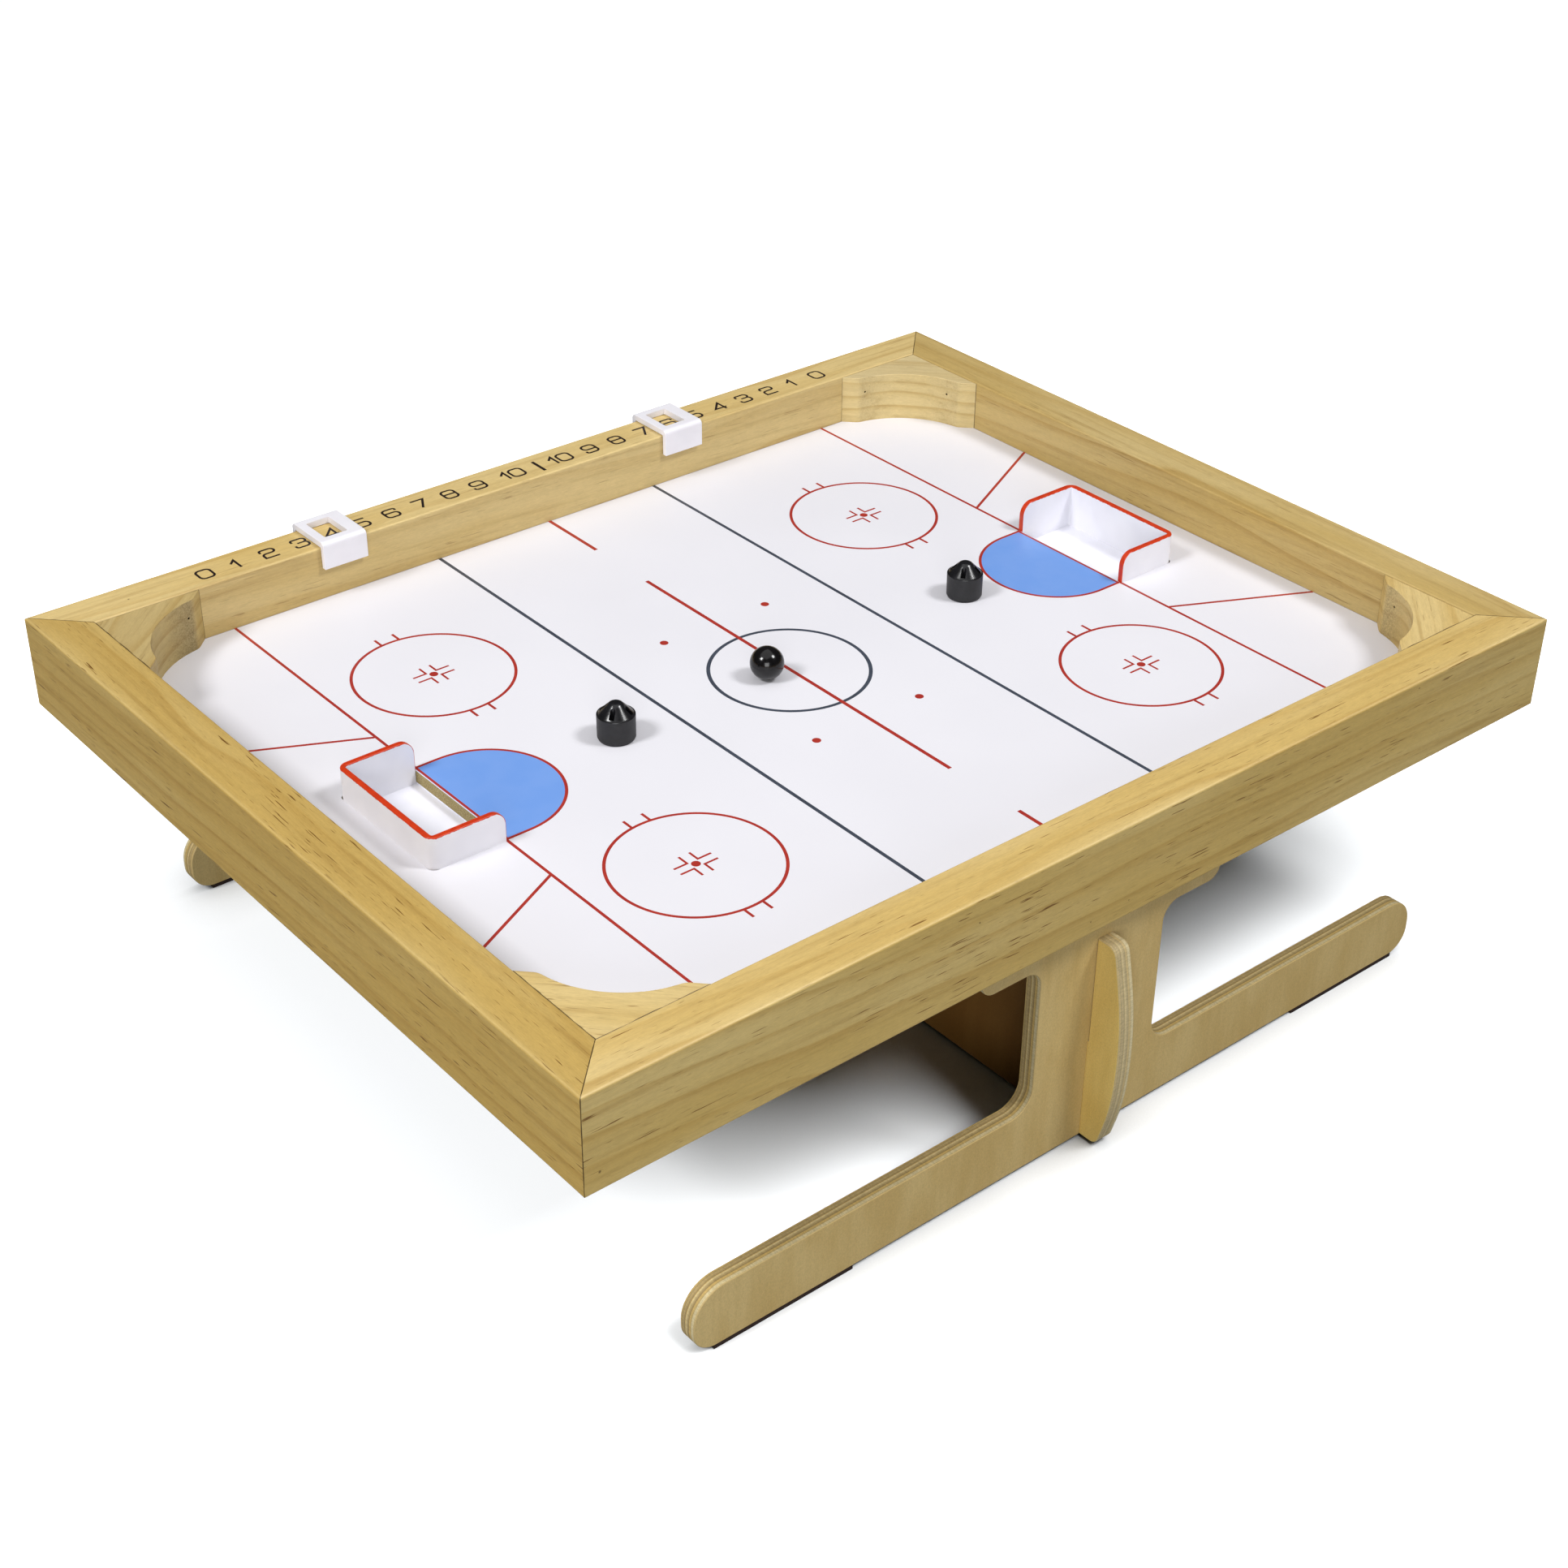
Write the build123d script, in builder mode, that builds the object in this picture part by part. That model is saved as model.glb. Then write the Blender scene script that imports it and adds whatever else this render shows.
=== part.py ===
"""Tabletop magnetic hockey game: mitred pine frame on a knock-down plywood stand.

Frame: millimetres, +Z up, origin on the floor under the middle of the table.
+X runs along the rink towards the right-hand goal, +Y towards the score rail.
"""
import os
from math import cos, radians, sin, sqrt

from build123d import *

os.makedirs("parts", exist_ok=True)

# ---------------------------------------------------------------- sizes
frame_length = 559.0        # outside, along X
frame_width = 445.0         # outside, along Y
rail_thick = 24.2
rail_height = 47.0
rail_top = 172.5            # rail top above the floor
edge_round = 1.1            # eased long edges of the rails

board_drop = 27.5           # rink surface below the rail top
sheet_thick = 0.4           # printed white sheet bonded to the board
board_thick = 6.0
groove_depth = 8.0          # board groove in each rail
board_tongue = 7.5          # how far the board enters the groove

block_leg = 53.5            # corner block, square side along each rail
block_arc = 47.0            # radius of the quarter-round hollow
block_drop = 0.6            # block top below the rail top

goal_front = 186.4          # goal line, distance from the centre spot
goal_back = 224.2
goal_half = 37.4            # half width over the walls
goal_wall = 2.8
goal_corner = 5.0           # outer back corners of a goal
pocket_corner = 3.4         # back corners of the pockets in the board
goal_rise = 15.9            # walls above the rink
goal_floor_drop = 7.0       # pocket floor below the rink
goal_floor_thick = 2.0
goal_flange = 8.0
goal_nose = 7.0             # rounded front top corner of each side wall

ply = 9.0
panel_face = 212.5          # outer face of a leg panel from the centre plane
column_half = 37.3
beam_half = 72.0
beam_bottom = rail_top - 63.0
foot_half = 223.2
foot_height = 31.3
pad_thick = 1.8
lap_slack = 0.1             # each side of a cross-lap slot
ply_ease = 0.6              # sanded edges of the plywood pieces
rim_ease = 0.45             # moulded edges of the goal rims
lap_level = 55.0            # where the two half laps meet
tab_reach = 230.3           # stretcher end from the centre plane
tab_top = 110.3
tenon_half = 50.0
tenon_height = 8.0

slider_width = 24.8
slider_wall = 2.6
slider_plate = 3.2
slider_gap = 0.3
slider_drop = 10.9
slider_bend = 2.4
window_x, window_y = 12.9, 18.4
slider_left_x, slider_right_x = -123.0, 87.2

striker_r = 9.0
striker_wall_h = 12.8
striker_h = 18.6
striker_left = (-100.5, 1.4)
striker_right = (115.3, 2.7)
slot_turn = 38.0            # first slot of a striker cap, degrees from +X
slot_in = 5.0               # centre of a slot's round inner end, from the axis
slot_long, slot_wide = 2.7, 2.5
felt_gap = 0.1              # running gap between felts, ball and board
felt_thick = 0.6

grip_r = 13.0
grip_h = 33.0

ball_r = 8.2
ball_xy = (-13.6, 0.3)

# ---------------------------------------------------------------- levels
rail_bottom = rail_top - rail_height
board_top = rail_top - board_drop
mdf_top = board_top - sheet_thick
mdf_bottom = mdf_top - board_thick
hx, hy = frame_length / 2, frame_width / 2
ix, iy = hx - rail_thick, hy - rail_thick
panel_mid = panel_face - ply / 2
goal_floor = board_top - goal_floor_drop

# brad (headless pin nail) positions
brad_r = 0.6
corner_brad_x = 269.5
corner_brad_z = (rail_top - 7.4, rail_top - 37.8)
block_brad_z = rail_top - 9.5
brad_off_x = 42.8           # from the inner corner, along a long rail
brad_off_y = 38.7           # from the inner corner, along a short rail


# ---------------------------------------------------------------- frame rails
# Each rail is a square-edged pine stick with eased edges, grooved on its
# inner face for the board and cut to 45 degrees at both ends.
def mitre_plan(half_len, half_wid, thick, flip):
    """Plan of one mitred rail lying along local X at y = -half_wid."""
    s = 1 if flip else -1
    tip = 0.35
    return [
        (-half_len + tip, s * half_wid),
        (half_len - tip, s * half_wid),
        (half_len - tip / 2, s * (half_wid - tip / 2)),
        (half_len - thick, s * (half_wid - thick)),
        (-half_len + thick, s * (half_wid - thick)),
        (-half_len + tip / 2, s * (half_wid - tip / 2)),
    ]


with BuildPart() as rail_front:
    with BuildSketch(Plane.YZ.offset(-hx)):
        with Locations((-hy + rail_thick / 2, rail_bottom + rail_height / 2)):
            RectangleRounded(rail_thick, rail_height, edge_round)
        with Locations((-iy - groove_depth / 2, (mdf_bottom + board_top) / 2)):
            Rectangle(groove_depth, board_top - mdf_bottom, mode=Mode.SUBTRACT)
    extrude(amount=frame_length)
    with BuildSketch(Plane.XY.offset(rail_bottom)):
        with BuildLine():
            Polyline(mitre_plan(hx, hy, rail_thick, False), close=True)
        make_face()
    extrude(amount=rail_height, mode=Mode.INTERSECT)
    # mortise for the tenon of the front leg panel
    with BuildSketch(Plane.XY.offset(rail_bottom)):
        with Locations((0, -panel_mid)):
            Rectangle(2 * tenon_half + 0.4, ply)
    extrude(amount=tenon_height + 0.5, mode=Mode.SUBTRACT)
    # pin nail holes through the mitres
    for z in corner_brad_z:
        with BuildSketch(Plane.XZ.offset(hy - 0.3)):
            with Locations((-corner_brad_x, z), (corner_brad_x, z)):
                Circle(brad_r)
        extrude(amount=-18, mode=Mode.SUBTRACT)
    # pin nail holes of the two front corner blocks
    with BuildSketch(Plane.XZ.offset(iy + 10)):
        for sx in (-1, 1):
            with Locations((sx * (ix - brad_off_x), block_brad_z)):
                Circle(brad_r)
    extrude(amount=-30, mode=Mode.SUBTRACT)
rail_front.part.label = "rail_front"

with BuildPart() as rail_score:
    with BuildSketch(Plane.YZ.offset(-hx)):
        with Locations((hy - rail_thick / 2, rail_bottom + rail_height / 2)):
            RectangleRounded(rail_thick, rail_height, edge_round)
        with Locations((iy + groove_depth / 2, (mdf_bottom + board_top) / 2)):
            Rectangle(groove_depth, board_top - mdf_bottom, mode=Mode.SUBTRACT)
    extrude(amount=frame_length)
    with BuildSketch(Plane.XY.offset(rail_bottom)):
        with BuildLine():
            Polyline(mitre_plan(hx, hy, rail_thick, True), close=True)
        make_face()
    extrude(amount=rail_height, mode=Mode.INTERSECT)
    with BuildSketch(Plane.XY.offset(rail_bottom)):
        with Locations((0, panel_mid)):
            Rectangle(2 * tenon_half + 0.4, ply)
    extrude(amount=tenon_height + 0.5, mode=Mode.SUBTRACT)
    for z in corner_brad_z:
        with BuildSketch(Plane.XZ.offset(-hy + 0.3)):
            with Locations((-corner_brad_x, z), (corner_brad_x, z)):
                Circle(brad_r)
        extrude(amount=18, mode=Mode.SUBTRACT)
    with BuildSketch(Plane.XZ.offset(-iy - 10)):
        for sx in (-1, 1):
            with Locations((sx * (ix - brad_off_x), block_brad_z)):
                Circle(brad_r)
    extrude(amount=30, mode=Mode.SUBTRACT)
rail_score.part.label = "rail_score"


def short_rail_plan(side):
    """Plan of a short rail at x = side * hx, mitred at both ends."""
    tip = 0.35
    return [
        (side * hx, -hy + tip),
        (side * (hx - tip / 2), -hy + tip / 2),
        (side * ix, -iy),
        (side * ix, iy),
        (side * (hx - tip / 2), hy - tip / 2),
        (side * hx, hy - tip),
    ]


with BuildPart() as rail_left:
    with BuildSketch(Plane.XZ.offset(-hy)):
        with Locations((-hx + rail_thick / 2, rail_bottom + rail_height / 2)):
            RectangleRounded(rail_thick, rail_height, edge_round)
        with Locations((-ix - groove_depth / 2, (mdf_bottom + board_top) / 2)):
            Rectangle(groove_depth, board_top - mdf_bottom, mode=Mode.SUBTRACT)
    extrude(amount=frame_width)
    with BuildSketch(Plane.XY.offset(rail_bottom)):
        with BuildLine():
            Polyline(short_rail_plan(-1), close=True)
        make_face()
    extrude(amount=rail_height, mode=Mode.INTERSECT)
    for z in corner_brad_z:
        with BuildSketch(Plane.XZ.offset(hy - 0.3)):
            with Locations((-corner_brad_x, z)):
                Circle(brad_r)
        extrude(amount=-18, mode=Mode.SUBTRACT)
        with BuildSketch(Plane.XZ.offset(-hy + 0.3)):
            with Locations((-corner_brad_x, z)):
                Circle(brad_r)
        extrude(amount=18, mode=Mode.SUBTRACT)
    with BuildSketch(Plane.YZ.offset(-ix - 10)):
        for sy in (-1, 1):
            with Locations((sy * (iy - brad_off_y), block_brad_z)):
                Circle(brad_r)
    extrude(amount=30, mode=Mode.SUBTRACT)
rail_left.part.label = "rail_left"

with BuildPart() as rail_right:
    with BuildSketch(Plane.XZ.offset(-hy)):
        with Locations((hx - rail_thick / 2, rail_bottom + rail_height / 2)):
            RectangleRounded(rail_thick, rail_height, edge_round)
        with Locations((ix + groove_depth / 2, (mdf_bottom + board_top) / 2)):
            Rectangle(groove_depth, board_top - mdf_bottom, mode=Mode.SUBTRACT)
    extrude(amount=frame_width)
    with BuildSketch(Plane.XY.offset(rail_bottom)):
        with BuildLine():
            Polyline(short_rail_plan(1), close=True)
        make_face()
    extrude(amount=rail_height, mode=Mode.INTERSECT)
    for z in corner_brad_z:
        with BuildSketch(Plane.XZ.offset(hy - 0.3)):
            with Locations((corner_brad_x, z)):
                Circle(brad_r)
        extrude(amount=-18, mode=Mode.SUBTRACT)
        with BuildSketch(Plane.XZ.offset(-hy + 0.3)):
            with Locations((corner_brad_x, z)):
                Circle(brad_r)
        extrude(amount=18, mode=Mode.SUBTRACT)
    with BuildSketch(Plane.YZ.offset(ix + 10)):
        for sy in (-1, 1):
            with Locations((sy * (iy - brad_off_y), block_brad_z)):
                Circle(brad_r)
    extrude(amount=-30, mode=Mode.SUBTRACT)
rail_right.part.label = "rail_right"

# ---------------------------------------------------------------- corner blocks
# Three-cornered pine blocks with a hollow sawn into the long side, which
# rounds off the rink corner. A flat of the long side is left at each end of
# the hollow and runs out to a point on the rail.
block_half_chord = sqrt(block_arc**2 - block_leg**2 / 2)
block_flat = block_leg / 2 - block_half_chord / sqrt(2)
block_soften = 7.0          # rounding between the hollow and the flats


def block_points(sx, sy):
    """Corner, tips, hollow ends and hollow middle at the (sx, sy) corner."""
    cx, cy = sx * ix, sy * iy
    tip_x = (cx, cy - sy * block_leg)
    tip_y = (cx - sx * block_leg, cy)
    in_x = (cx - sx * block_flat, cy - sy * (block_leg - block_flat))
    in_y = (cx - sx * (block_leg - block_flat), cy - sy * block_flat)
    m = block_leg - block_arc / sqrt(2)
    mid = (cx - sx * m, cy - sy * m)
    return (cx, cy), tip_x, in_x, mid, in_y, tip_y


with BuildPart() as corner_block_front_left:
    c, tx, qx, mid, qy, ty = block_points(-1, -1)
    with BuildSketch(Plane.XY.offset(board_top)):
        with BuildLine():
            Polyline(qy, ty, c, tx, qx)
            ThreePointArc(qx, mid, qy)
        make_face()
    extrude(amount=rail_top - block_drop - board_top)
    fillet(
        [
            e
            for e in corner_block_front_left.edges().filter_by(Axis.Z)
            if abs(e.center().X - qx[0]) + abs(e.center().Y - qx[1]) < 0.1
            or abs(e.center().X - qy[0]) + abs(e.center().Y - qy[1]) < 0.1
        ],
        block_soften,
    )
    fillet(corner_block_front_left.faces().sort_by(Axis.Z)[-1].edges(), 0.35)
    with BuildSketch(Plane.XZ.offset(iy + 10)):
        with Locations((-ix + brad_off_x, block_brad_z)):
            Circle(brad_r)
    extrude(amount=-30, mode=Mode.SUBTRACT)
    with BuildSketch(Plane.YZ.offset(-ix - 10)):
        with Locations((-iy + brad_off_y, block_brad_z)):
            Circle(brad_r)
    extrude(amount=30, mode=Mode.SUBTRACT)
corner_block_front_left.part.label = "corner_block_front_left"

with BuildPart() as corner_block_front_right:
    c, tx, qx, mid, qy, ty = block_points(1, -1)
    with BuildSketch(Plane.XY.offset(board_top)):
        with BuildLine():
            Polyline(qy, ty, c, tx, qx)
            ThreePointArc(qx, mid, qy)
        make_face()
    extrude(amount=rail_top - block_drop - board_top)
    fillet(
        [
            e
            for e in corner_block_front_right.edges().filter_by(Axis.Z)
            if abs(e.center().X - qx[0]) + abs(e.center().Y - qx[1]) < 0.1
            or abs(e.center().X - qy[0]) + abs(e.center().Y - qy[1]) < 0.1
        ],
        block_soften,
    )
    fillet(corner_block_front_right.faces().sort_by(Axis.Z)[-1].edges(), 0.35)
    with BuildSketch(Plane.XZ.offset(iy + 10)):
        with Locations((ix - brad_off_x, block_brad_z)):
            Circle(brad_r)
    extrude(amount=-30, mode=Mode.SUBTRACT)
    with BuildSketch(Plane.YZ.offset(ix + 10)):
        with Locations((-iy + brad_off_y, block_brad_z)):
            Circle(brad_r)
    extrude(amount=-30, mode=Mode.SUBTRACT)
corner_block_front_right.part.label = "corner_block_front_right"

with BuildPart() as corner_block_back_left:
    c, tx, qx, mid, qy, ty = block_points(-1, 1)
    with BuildSketch(Plane.XY.offset(board_top)):
        with BuildLine():
            Polyline(qy, ty, c, tx, qx)
            ThreePointArc(qx, mid, qy)
        make_face()
    extrude(amount=rail_top - block_drop - board_top)
    fillet(
        [
            e
            for e in corner_block_back_left.edges().filter_by(Axis.Z)
            if abs(e.center().X - qx[0]) + abs(e.center().Y - qx[1]) < 0.1
            or abs(e.center().X - qy[0]) + abs(e.center().Y - qy[1]) < 0.1
        ],
        block_soften,
    )
    fillet(corner_block_back_left.faces().sort_by(Axis.Z)[-1].edges(), 0.35)
    with BuildSketch(Plane.XZ.offset(-iy - 10)):
        with Locations((-ix + brad_off_x, block_brad_z)):
            Circle(brad_r)
    extrude(amount=30, mode=Mode.SUBTRACT)
    with BuildSketch(Plane.YZ.offset(-ix - 10)):
        with Locations((iy - brad_off_y, block_brad_z)):
            Circle(brad_r)
    extrude(amount=30, mode=Mode.SUBTRACT)
corner_block_back_left.part.label = "corner_block_back_left"

with BuildPart() as corner_block_back_right:
    c, tx, qx, mid, qy, ty = block_points(1, 1)
    with BuildSketch(Plane.XY.offset(board_top)):
        with BuildLine():
            Polyline(qy, ty, c, tx, qx)
            ThreePointArc(qx, mid, qy)
        make_face()
    extrude(amount=rail_top - block_drop - board_top)
    fillet(
        [
            e
            for e in corner_block_back_right.edges().filter_by(Axis.Z)
            if abs(e.center().X - qx[0]) + abs(e.center().Y - qx[1]) < 0.1
            or abs(e.center().X - qy[0]) + abs(e.center().Y - qy[1]) < 0.1
        ],
        block_soften,
    )
    fillet(corner_block_back_right.faces().sort_by(Axis.Z)[-1].edges(), 0.35)
    with BuildSketch(Plane.XZ.offset(-iy - 10)):
        with Locations((ix - brad_off_x, block_brad_z)):
            Circle(brad_r)
    extrude(amount=30, mode=Mode.SUBTRACT)
    with BuildSketch(Plane.YZ.offset(ix + 10)):
        with Locations((iy - brad_off_y, block_brad_z)):
            Circle(brad_r)
    extrude(amount=-30, mode=Mode.SUBTRACT)
corner_block_back_right.part.label = "corner_block_back_right"

# ---------------------------------------------------------------- pin nails
with BuildPart() as frame_brads:
    for z in corner_brad_z:
        with BuildSketch(Plane.XZ.offset(hy - 0.3)):
            with Locations((-corner_brad_x, z), (corner_brad_x, z)):
                Circle(brad_r)
        extrude(amount=-18)
        with BuildSketch(Plane.XZ.offset(-hy + 0.3)):
            with Locations((-corner_brad_x, z), (corner_brad_x, z)):
                Circle(brad_r)
        extrude(amount=18)
frame_brads.part.label = "frame_brads"

# The nails start 0.3 below the hollowed face.
def hollow_depth(along):
    """Distance from a rail to the hollowed face, at a station along it."""
    return block_leg - sqrt(block_arc**2 - (block_leg - along) ** 2)


start_x = hollow_depth(brad_off_x) - 0.3
start_y = hollow_depth(brad_off_y) - 0.3
with BuildPart() as block_brads:
    with BuildSketch(Plane.XZ.offset(iy - start_x)):
        with Locations((-ix + brad_off_x, block_brad_z), (ix - brad_off_x, block_brad_z)):
            Circle(brad_r)
    extrude(amount=start_x + 10)
    with BuildSketch(Plane.XZ.offset(-iy + start_x)):
        with Locations((-ix + brad_off_x, block_brad_z), (ix - brad_off_x, block_brad_z)):
            Circle(brad_r)
    extrude(amount=-start_x - 10)
    with BuildSketch(Plane.YZ.offset(-ix + start_y)):
        with Locations((-iy + brad_off_y, block_brad_z), (iy - brad_off_y, block_brad_z)):
            Circle(brad_r)
    extrude(amount=-start_y - 10)
    with BuildSketch(Plane.YZ.offset(ix - start_y)):
        with Locations((-iy + brad_off_y, block_brad_z), (iy - brad_off_y, block_brad_z)):
            Circle(brad_r)
    extrude(amount=start_y + 10)
block_brads.part.label = "block_brads"

# ---------------------------------------------------------------- playing board
goal_mid = (goal_front + goal_back) / 2
goal_long = goal_back - goal_front
screw_points = [
    (goal_back + goal_flange / 2, -(goal_half + goal_flange / 2)),
    (goal_back + goal_flange / 2, goal_half + goal_flange / 2),
    (goal_front - goal_flange / 2, -(goal_half + goal_flange / 2)),
    (goal_front - goal_flange / 2, goal_half + goal_flange / 2),
]
screw_r = 1.25
screw_len = 4.6


def pocket_back(points):
    """The back corners of the two goal pockets among a plan's corners."""
    return [v for v in points if abs(abs(v.X) - goal_back) < 0.1 and abs(v.Y) < 2 * goal_half]


with BuildPart() as playing_board:
    with BuildSketch(Plane.XY.offset(mdf_bottom)) as board_plan:
        Rectangle(2 * (ix + board_tongue), 2 * (iy + board_tongue))
        with Locations((-goal_mid, 0), (goal_mid, 0)):
            Rectangle(goal_long, 2 * goal_half, mode=Mode.SUBTRACT)
        fillet(pocket_back(board_plan.vertices()), pocket_corner)
    extrude(amount=board_thick)
    # pilot holes for the goal screws, blind from below
    with BuildSketch(Plane.XY.offset(mdf_bottom)):
        for px, py in screw_points:
            with Locations((px, py), (-px, py)):
                Circle(screw_r)
    extrude(amount=screw_len, mode=Mode.SUBTRACT)
playing_board.part.label = "playing_board"

with BuildPart() as rink_sheet:
    with BuildSketch(Plane.XY.offset(mdf_top)) as sheet_plan:
        Rectangle(2 * (ix + board_tongue), 2 * (iy + board_tongue))
        with Locations((-goal_mid, 0), (goal_mid, 0)):
            Rectangle(goal_long, 2 * goal_half, mode=Mode.SUBTRACT)
        fillet(pocket_back(sheet_plan.vertices()), pocket_corner)
    extrude(amount=sheet_thick)
rink_sheet.part.label = "rink_sheet"

# ---------------------------------------------------------------- goals
# One moulding: three walls standing through the board, a pocket floor below
# it, and a flange screwed up against the underside.
flange_thick = mdf_bottom - (goal_floor - goal_floor_thick)


with BuildPart() as goal_left:
    with BuildSketch(Plane.XY.offset(goal_floor - goal_floor_thick)):
        with Locations((-goal_mid, 0)):
            Rectangle(goal_long, 2 * goal_half)
    extrude(amount=board_top + goal_rise - goal_floor + goal_floor_thick)
    fillet(goal_left.edges().filter_by(Axis.Z).group_by(Axis.X)[0], goal_corner)
    with BuildSketch(Plane.XY.offset(goal_floor)) as hollow_left:
        with Locations((-goal_mid + goal_wall / 2 + 2.5, 0)):
            Rectangle(goal_long - goal_wall + 5.0, 2 * (goal_half - goal_wall))
        fillet(hollow_left.vertices().group_by(Axis.X)[0], 1.1)
    extrude(amount=40, mode=Mode.SUBTRACT)
    fillet(
        goal_left.edges().filter_by(Axis.Y).group_by(Axis.Z)[-1].sort_by(Axis.X)[-2:],
        goal_nose,
    )
    fillet(goal_left.faces().filter_by(Axis.Z).sort_by(Axis.Z)[-1].edges(), rim_ease)
    with BuildSketch(Plane.XY.offset(goal_floor - goal_floor_thick)):
        with Locations((-goal_mid, 0)):
            RectangleRounded(goal_long + 2 * goal_flange, 2 * (goal_half + goal_flange), 4)
        with Locations((-goal_mid + 1.1, 0)):
            Rectangle(goal_long - 2.2, 2 * goal_half - 4.4, mode=Mode.SUBTRACT)
    extrude(amount=flange_thick)
    with BuildSketch(Plane.XY.offset(goal_floor - goal_floor_thick)):
        for px, py in screw_points:
            with Locations((-px, py)):
                Circle(screw_r)
    extrude(amount=flange_thick, mode=Mode.SUBTRACT)
goal_left.part.label = "goal_left"

with BuildPart() as goal_right:
    with BuildSketch(Plane.XY.offset(goal_floor - goal_floor_thick)):
        with Locations((goal_mid, 0)):
            Rectangle(goal_long, 2 * goal_half)
    extrude(amount=board_top + goal_rise - goal_floor + goal_floor_thick)
    fillet(goal_right.edges().filter_by(Axis.Z).group_by(Axis.X)[-1], goal_corner)
    with BuildSketch(Plane.XY.offset(goal_floor)) as hollow_right:
        with Locations((goal_mid - goal_wall / 2 - 2.5, 0)):
            Rectangle(goal_long - goal_wall + 5.0, 2 * (goal_half - goal_wall))
        fillet(hollow_right.vertices().group_by(Axis.X)[-1], 1.1)
    extrude(amount=40, mode=Mode.SUBTRACT)
    fillet(
        goal_right.edges().filter_by(Axis.Y).group_by(Axis.Z)[-1].sort_by(Axis.X)[:2],
        goal_nose,
    )
    fillet(goal_right.faces().filter_by(Axis.Z).sort_by(Axis.Z)[-1].edges(), rim_ease)
    with BuildSketch(Plane.XY.offset(goal_floor - goal_floor_thick)):
        with Locations((goal_mid, 0)):
            RectangleRounded(goal_long + 2 * goal_flange, 2 * (goal_half + goal_flange), 4)
        with Locations((goal_mid - 1.1, 0)):
            Rectangle(goal_long - 2.2, 2 * goal_half - 4.4, mode=Mode.SUBTRACT)
    extrude(amount=flange_thick)
    with BuildSketch(Plane.XY.offset(goal_floor - goal_floor_thick)):
        for px, py in screw_points:
            with Locations((px, py)):
                Circle(screw_r)
    extrude(amount=flange_thick, mode=Mode.SUBTRACT)
goal_right.part.label = "goal_right"

# Pan-head screws that hold each goal's flange up to the board.
screw_head_r, screw_head_h = 2.6, 1.7
flange_bottom = goal_floor - goal_floor_thick

with BuildPart() as goal_screws_left:
    for px, py in screw_points:
        with BuildSketch(Plane.XY.offset(flange_bottom)):
            with Locations((-px, py)):
                Circle(screw_r)
        extrude(amount=flange_thick + screw_len)
        with BuildSketch(Plane.XY.offset(flange_bottom - screw_head_h)):
            with Locations((-px, py)):
                Circle(screw_head_r)
        extrude(amount=screw_head_h)
        # cross recess
        with BuildSketch(Plane.XY.offset(flange_bottom - screw_head_h)):
            with Locations((-px, py)):
                Rectangle(2.6, 0.6)
                Rectangle(0.6, 2.6)
        extrude(amount=0.9, mode=Mode.SUBTRACT)
    fillet(
        goal_screws_left.edges().filter_by(GeomType.CIRCLE).group_by(Axis.Z)[0], 0.6
    )
goal_screws_left.part.label = "goal_screws_left"

with BuildPart() as goal_screws_right:
    for px, py in screw_points:
        with BuildSketch(Plane.XY.offset(flange_bottom)):
            with Locations((px, py)):
                Circle(screw_r)
        extrude(amount=flange_thick + screw_len)
        with BuildSketch(Plane.XY.offset(flange_bottom - screw_head_h)):
            with Locations((px, py)):
                Circle(screw_head_r)
        extrude(amount=screw_head_h)
        with BuildSketch(Plane.XY.offset(flange_bottom - screw_head_h)):
            with Locations((px, py)):
                Rectangle(2.6, 0.6)
                Rectangle(0.6, 2.6)
        extrude(amount=0.9, mode=Mode.SUBTRACT)
    fillet(
        goal_screws_right.edges().filter_by(GeomType.CIRCLE).group_by(Axis.Z)[0], 0.6
    )
goal_screws_right.part.label = "goal_screws_right"

# ---------------------------------------------------------------- score sliders
# A moulded clip that straddles the score rail: a top plate with a window over
# one number, and a skirt down each side of the rail.
clip_in = iy - slider_gap - slider_wall
clip_out = hy + slider_gap + slider_wall
clip_top = rail_top + slider_gap + slider_plate
clip_low = rail_top - slider_drop
clip_mid = (clip_in + clip_out) / 2

with BuildPart() as score_slider_left:
    with BuildSketch(Plane.YZ.offset(slider_left_x - slider_width / 2)) as clip_left:
        with BuildLine():
            Polyline(
                (clip_in, clip_low),
                (clip_in, clip_top),
                (clip_out, clip_top),
                (clip_out, clip_low),
                (hy + slider_gap, clip_low),
                (hy + slider_gap, rail_top + slider_gap),
                (iy - slider_gap, rail_top + slider_gap),
                (iy - slider_gap, clip_low),
                close=True,
            )
        make_face()
        fillet(clip_left.vertices().group_by(Axis.Y)[-1], slider_bend)
        fillet(
            [v for v in clip_left.vertices() if abs(v.Y - rail_top - slider_gap) < 0.01],
            0.7,
        )
    extrude(amount=slider_width)
    with BuildSketch(Plane.XY.offset(rail_top)):
        with Locations((slider_left_x - 1.4, clip_mid - 0.2)):
            RectangleRounded(window_x, window_y, 0.8)
    extrude(amount=10, mode=Mode.SUBTRACT)
    fillet(
        score_slider_left.faces().filter_by(Axis.X).sort_by(Axis.X)[0].edges(), 0.35
    )
    fillet(
        score_slider_left.faces().filter_by(Axis.X).sort_by(Axis.X)[-1].edges(), 0.35
    )
score_slider_left.part.label = "score_slider_left"

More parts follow.
